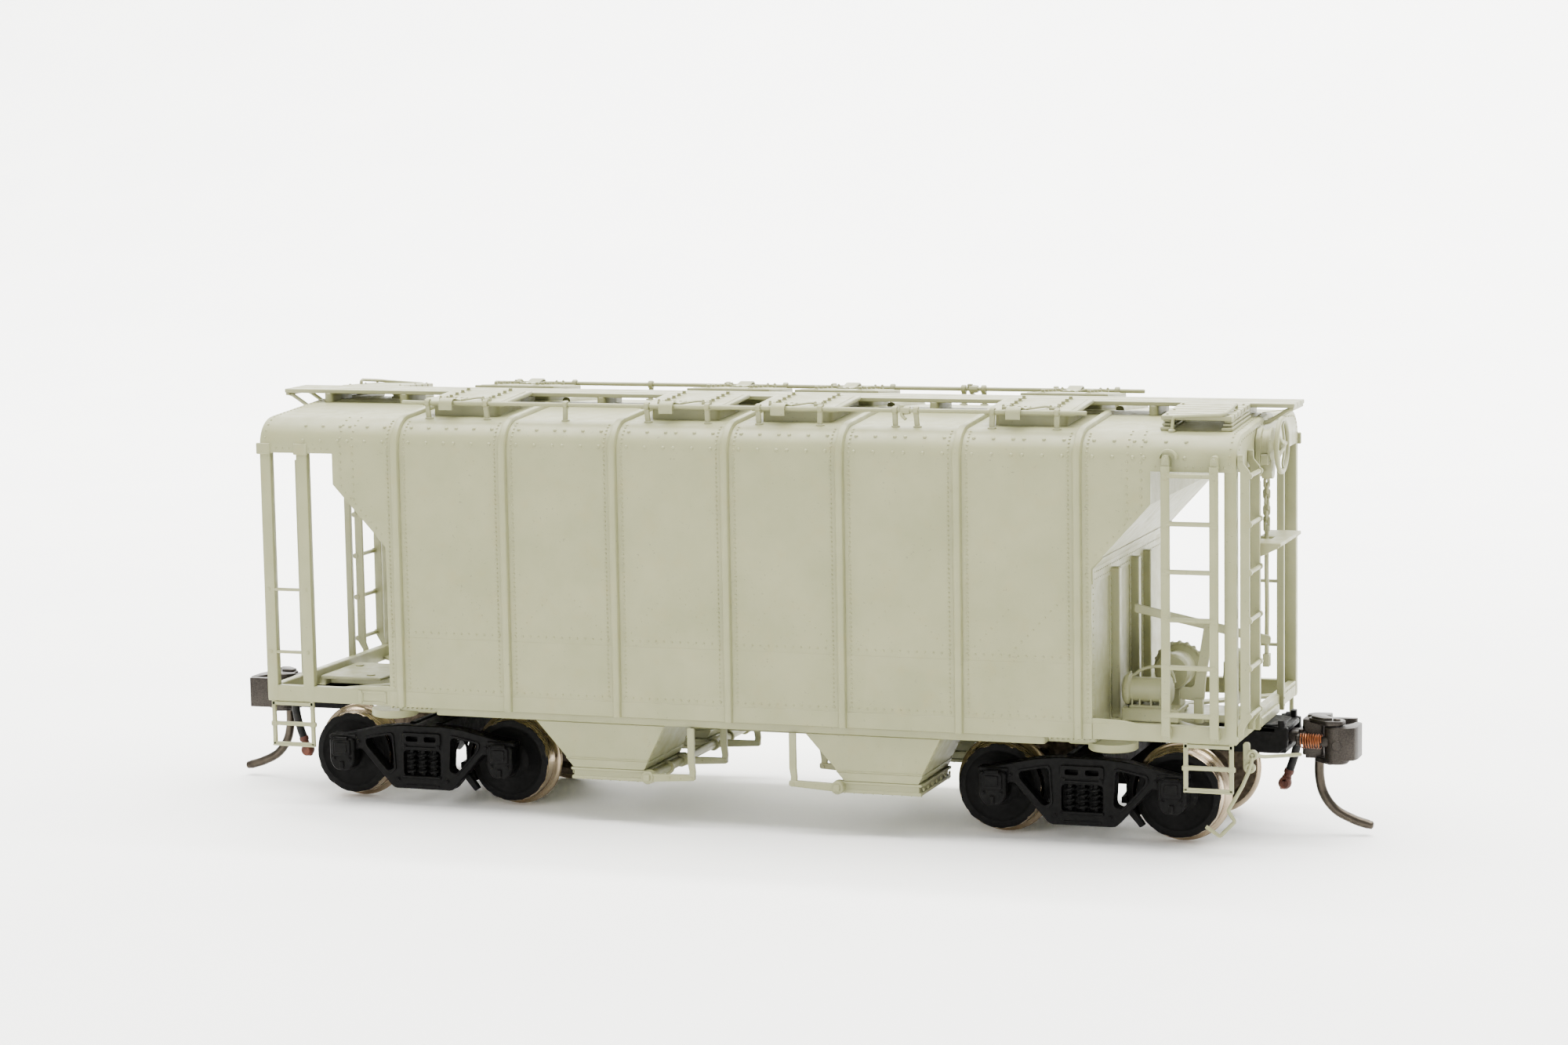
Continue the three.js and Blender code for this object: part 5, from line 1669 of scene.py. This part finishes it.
# ---- air brake gear ----
def air_reservoir_shape():
    """Tank between two wide rims on a ribbed cradle and a beam, with a pipe over its top."""
    low, high = edges("air_reservoir")
    y, z, radius, rim = -8.6, 16.65, 1.36, 1.75
    shape = Shape()
    tank = [(0, 42.98), (0.8, 43.0), (1.35, 43.12), (1.68, 43.35), (rim, 43.5), (rim, 43.78), (1.62, 43.95),
            (radius, 44.05), (radius, 47.45), (1.62, 47.55), (rim, 47.7), (rim, 48.0), (1.68, 48.15),
            (1.35, 48.35), (0.8, 48.46), (0, 48.48)]
    shape.turned("x", tank, (y, z), 36)
    shape.pin("x", 0.34, 42.9, 43.2, (y, z), 10)
    shape.box([43.9, 47.6], around(y, 1.25), [14.7, 15.1], 0.1)
    for x in (44.2, 45.05, 46.3, 47.3):
        rib = [(y - 1.15, 14.9), (y + 1.15, 14.9), (y + 1.0, 16.2), (y - 1.0, 16.2)]
        shape.prism("x", rib, x - 0.09, x + 0.09, 0.03)
    shape.box([low.x + 0.2, high.x], around(y, 1.5), [low.z, 14.8], 0.1)
    for x in (43.5, 48.9):
        shape.bolt((x, y - 1.1, 14.8), (0, 0, 1), 0.2, 0.16)
    pipe = [(43.9, y - 0.2, 18.1), (44.3, y, 18.3), (45.0, y + 0.1, 18.8), (46.0, y + 0.2, 19.1),
            (47.3, y + 0.3, 19.15),
            (48.2, y + 0.5, 18.6), (48.5, y + 0.7, 17.4)]
    shape.rod(curve_through(pipe, 5), 0.18, 10, (0, 1, 0))
    wrap = [(43.75 + 0.12 * math.sin(TURN * i / 12), y - 0.2 + 0.3 * math.cos(TURN * i / 12),
             18.3 + 0.3 * math.sin(TURN * i / 12)) for i in range(12)]
    hoop(shape, wrap, (1, 0, 0), circle(0.1, 8))
    return shape


def brake_cylinder_shape():
    """Barrel across the platform with a bolted flange and a scalloped one in front of it."""
    x, z = 47.0, 17.7
    shape = Shape()
    barrel = [(0, -3.4), (1.2, -3.38), (1.75, -3.15), (1.95, -2.8), (2.0, -2.4), (2.0, 0.1),
              (2.6, 0.45), (0, 0.45)]
    shape.turned("y", barrel, (x, z), 40)
    shape.turned("y", [(0, 0.4), (2.75, 0.4), (2.8, 0.5), (2.8, 0.72), (0, 0.72)], (x, z), 40)
    shape.turned("y", [(0, 0.95), (2.6, 0.95), (2.6, 1.25), (2.1, 1.6), (1.3, 1.95), (0, 2.1)], (x, z), 40)
    scallop = []
    for i in range(120):
        angle = TURN * i / 120
        reach = 2.82 + 0.13 * math.cos(20 * angle)
        scallop.append((x + reach * math.cos(angle), z + reach * math.sin(angle)))
    shape.prism("y", scallop, 0.6, 1.0, 0.04)
    for u, v in circle(2.66, 20):
        shape.bolt((x + u, 0.42, z + v), (0, -1, 0), 0.14, 0.16)
    shape.turned("y", [(0, -3.55), (0.45, -3.55), (0.5, -3.35), (0, -3.3)], (x, z), 14)
    shape.box(around(x, 0.8), [-2.4, 0.2], [13.3, 17], 0.14)
    shape.box(around(x, 1.15), [-2.6, 0.35], [13.25, 13.8], 0.1)
    return shape


def control_valve_shape():
    """Valve body with its bowl, side caps and bracket."""
    x, y = 52.6, 4.6
    shape = Shape()
    plan = [(x - 1.3, y - 1.4), (x + 1.3, y - 1.4), (x + 1.3, y + 1.4), (x - 1.3, y + 1.4)]
    shape.prism("z", corner_rounded(plan, 0.4), 14.7, 18.0, 0.2, 2)
    shape.turned("z", [(0, 17.9), (1.1, 17.9), (1.1, 18.6), (0.85, 19.15), (0.3, 19.38),
                       (0, 19.4)], (x, y), 24)
    shape.turned("y", [(0, y - 1.5), (0.75, y - 1.5), (0.85, y - 1.3), (0, y - 1.3)], (x, 16.6), 18)
    shape.turned("x", [(0, x - 1.45), (0.6, x - 1.45), (0.7, x - 1.2), (0, x - 1.2)], (y, 16.2), 18)
    for dx in (-0.85, 0.85):
        for z in (15.3, 17.5):
            shape.bolt((x + dx, y - 1.38, z), (0, -1, 0), 0.2, 0.1)
    shape.box(around(x, 0.6), [y - 3, y + 0.6], [13.3, 14.9], 0.12)
    return shape


def brake_lever_shape():
    """Deep flat pull rod, and the lever that leans down from its pin to the arm at the floor."""
    y = -7.2
    shape = Shape()
    rod = [(43.95, 25.75), (44.2, 25.78), (58.75, 22.83), (58.9, 22.6), (58.85, 22.0), (58.65, 21.85),
           (44.1, 24.85), (43.9, 25.0)]
    shape.prism("y", rod, y - 0.18, y + 0.18, 0.05)
    lever = corner_rounded([(51.68, 23.95), (52.62, 23.95), (52.62, 22.9), (51.75, 17.6), (51.62, 15.55),
                            (51.2, 15.4), (48.95, 15.5), (48.95, 16.8), (50.1, 16.8), (50.52, 17.1)], 0.35, 3)
    shape.prism("y", lever, y - 0.24, y + 0.24, 0.06)
    shape.pin("y", 0.2, y - 0.34, y + 0.34, (52.13, 23.3), 12)
    shape.box([50.5, 51.5], around(y, 0.42), [13.0, 15.7], 0.14, 2)
    return shape


# ---- underframe ----
def channel(shape, xs, half, zs):
    """Two webs on a flange, open between them."""
    flange = 0.28
    shape.box(xs, [-half, half], [zs[0], zs[0] + flange], 0.05)
    for side in (-1, 1):
        shape.box(xs, [side * (half - 0.35), side * (half - 0.05)], [zs[0] + flange * 0.5, zs[1]], 0.03)


def end_platform(shape, details, end):
    """End sill, striker, raised cover plate, diagonal plates and the two uprights."""
    half = SIDE_Y - WALL - 0.08
    shape.box([end * 56.15, end * (END_X - 0.04)], [-half, half], [SILL_Z + 0.08, SILL_TOP - 0.03], 0.1)
    x, z = end * (END_X - 0.03), SILL_TOP - 0.4
    for first, last in ((-half + 0.6, -7.2), (7.2, half - 0.6)):
        details.rivets((x, first, z), (x, last, z), 0.8, (end, 0, 0), 0.13)
    shape.box([end * 55.4, end * (END_X + 0.28)], [-4.6, 4.6], [12.3, 13.35], 0.12)
    shape.box([end * (SHEET_X + 0.12), end * 56.5], [-3.15, 3.15], [12.26, 13.15], 0.1)
    if end < 0:
        shape.box([end * 48, end * 55.9], [-4.9, 4.9], [13.12, 13.5], 0.1)
        for x, y in ((50, -3.4), (54.4, 2.6)):
            details.turned("z", [(0, 13.45), (0.55, 13.45), (0.5, 13.62), (0, 13.66)], (end * x, y), 16)
    for side in (-1, 1):
        path = [(end * 43, side * 2, 12.75), (end * 56.3, side * 13.9, 12.75)]
        shape.sweep(path, rounded_rectangle(1.5, 0.34, 0.08, 2), (0, 0, 1))
        y = side * END_POST["y"]
        ys = around(y, END_POST["half"])
        shape.box([end * END_POST["inner"], end * END_POST["outer"]], ys,
                  [SILL_Z + 0.02, END_POST["step"]], 0.06)
        shape.box([end * END_POST["inner"], end * (END_X - 0.02)], ys, [39.3, WINDOW_TOP - 0.05], 0.05)
        for z in (12.9, 13.7):
            details.rivet((end * END_POST["outer"], y, z), (end, 0, 0), 0.15)


def underframe_shapes():
    shape, details = Shape(), Shape()
    strip = [(-36, -15.55), (36, -15.55), (36, 15.55), (-36, 15.55)]
    shape.prism("z", corner_rounded(strip, 0.5), *DECK_Z, 0.08)
    shape.box([-SHEET_X + 0.07, SHEET_X - 0.07], [-13.95, 13.95], [11.5, DECK_Z[1] - 0.02], 0.06)
    shape.box([-51.2, 51.2], [-1.88, 1.88], [11.1, DECK_Z[1] - 0.02], 0.08)
    channel(shape, [-26, 26], 1.75, (8.6, 11.55))
    for x in range(-24, 25, 8):
        shape.box(around(x, 0.15), [-1.4, 1.4], [8.75, 11.5])
    for end in ENDS.values():
        x = end * centre_x("truck_screw_b")
        shape.box(around(x, 1.6), [-12, 12], BOLSTER_Z, 0.12)
        shape.turned("z", [(0, 10.95), (4.1, 10.95), (4.2, 11.05), (4.2, 11.6), (0, 11.6)], (x, 0), 40)
        for side in (-1, 1):
            drum = [(0, 10.6), (2.5, 10.6), (2.7, 10.75), (2.7, 11.5), (0, 11.5)]
            shape.turned("z", drum, (x + end * 3.4, side * 12.1), 32)
            for i in range(9):
                details.box([end * (36.5 + i * 0.6), end * (36.8 + i * 0.6)],
                            [side * 15.1, side * 15.75], [12.05, 12.36], 0.05)
        end_platform(shape, details, end)
    return shape, details


def add_brake_gear():
    paint_piece("brake_wheel_spokes", brake_wheel_shape(), "brake_wheel", body="brake_wheel")
    paint_piece("brake_gear_case", brake_housing_shape(), "brake_gear_housing")
    paint_piece("brake_chain_links", brake_chain_shape(), "brake_chain")
    paint_piece("brake_step", brake_platform_shape(), "brake_platform")
    paint_piece("air_reservoir_tank", air_reservoir_shape(), "air_reservoir")
    paint_piece("brake_cylinder_body", brake_cylinder_shape(), "brake_cylinder")
    paint_piece("control_valve_body", control_valve_shape(), "control_valve")
    paint_piece("brake_lever_rods", brake_lever_shape(), "brake_lever")
    shape, details = underframe_shapes()
    paint_piece("underframe_members", shape, "underframe")
    paint_piece("underframe_details", details)


add_brake_gear()


# ---- camera, floor and light ----
CAMERA = {"azimuth": 19.625, "elevation": 7.182, "roll": -0.988, "distance": 412.596}
TARGET = Vector((0, 0, 22))
OFFSET = (-0.874, -10.552)
LENS = 82.66


def make_camera():
    az, el, roll = (math.radians(CAMERA[k]) for k in ("azimuth", "elevation", "roll"))
    back = Vector((math.sin(az) * math.cos(el), -math.cos(az) * math.cos(el), math.sin(el)))
    level = (-back).cross(Vector((0, 0, 1))).normalized()
    above = level.cross(-back)
    right = level * math.cos(roll) + above * math.sin(roll)
    up = above * math.cos(roll) - level * math.sin(roll)
    place = TARGET + back * CAMERA["distance"] - right * OFFSET[0] - up * OFFSET[1]
    data = bpy.data.cameras.new("camera")
    data.lens = LENS
    data.sensor_width = 36
    data.clip_start = 0.01
    data.clip_end = 10
    camera = bpy.data.objects.new("camera", data)
    bpy.context.scene.collection.objects.link(camera)
    camera.matrix_world = Matrix.Translation(place * MM) @ Matrix((right, up, back)).transposed().to_4x4()
    bpy.context.scene.camera = camera


def make_floor():
    """A pale sweep: a flat floor that curves up into a backdrop."""
    bend, depth, height, half = 500.0, 900.0, 2600.0, 3000.0
    profile = [(-2400.0, 0.0), (depth - bend, 0.0)]
    for i in range(1, 13):
        angle = TURN / 4 * i / 12
        profile.append((depth - bend + bend * math.sin(angle), bend * (1 - math.cos(angle))))
    profile.append((depth, height))
    points = [Vector((x, y, z)) * MM for y, z in profile for x in (-half, half)]
    faces = [[2 * i, 2 * i + 1, 2 * i + 3, 2 * i + 2] for i in range(len(profile) - 1)]
    mesh = bpy.data.meshes.new("floor")
    mesh.from_pydata(points, [], faces)
    look = Surface("floor_paper", specular=0.2)
    tone = look.mix(look.between(look.noise(40, 3.0), 0.3, 0.7), srgb(246, 246, 244), srgb(242, 242, 241))
    rough = look.between(look.noise(3, 3.0), 0.3, 0.7, 0.6, 0.75)
    mesh.materials.append(look.finish(tone, rough, [(look.noise(0.6, 3.0), 0.01)]))
    mesh.polygons.foreach_set("use_smooth", [True] * len(mesh.polygons))
    floor = bpy.data.objects.new("floor", mesh)
    bpy.context.scene.collection.objects.link(floor)


def area_light(name, at, aim, size, power, colour=(1, 1, 1)):
    data = bpy.data.lights.new(name, "AREA")
    data.shape = "RECTANGLE"
    data.size, data.size_y = (s * MM for s in size)
    data.energy = power
    data.color = colour
    lamp = bpy.data.objects.new(name, data)
    bpy.context.scene.collection.objects.link(lamp)
    lamp.location = Vector(at) * MM
    lamp.rotation_euler = (Vector(aim) - Vector(at)).to_track_quat("-Z", "Y").to_euler()


def make_light():
    world = bpy.data.worlds.new("world")
    bpy.context.scene.world = world
    world.use_nodes = True
    background = world.node_tree.nodes["Background"]
    background.inputs["Color"].default_value = (1, 1, 0.99, 1)
    background.inputs["Strength"].default_value = 1.1
    area_light("overhead", (0, 60, 900), (0, 0, 20), (1400, 900), 46, (1, 0.99, 0.96))
    area_light("front", (-350, -900, 420), (0, 0, 25), (700, 500), 4, (1, 0.98, 0.93))
    area_light("backdrop", (0, 350, 700), (0, 900, 200), (1600, 300), 30)


make_camera()
make_floor()
make_light()
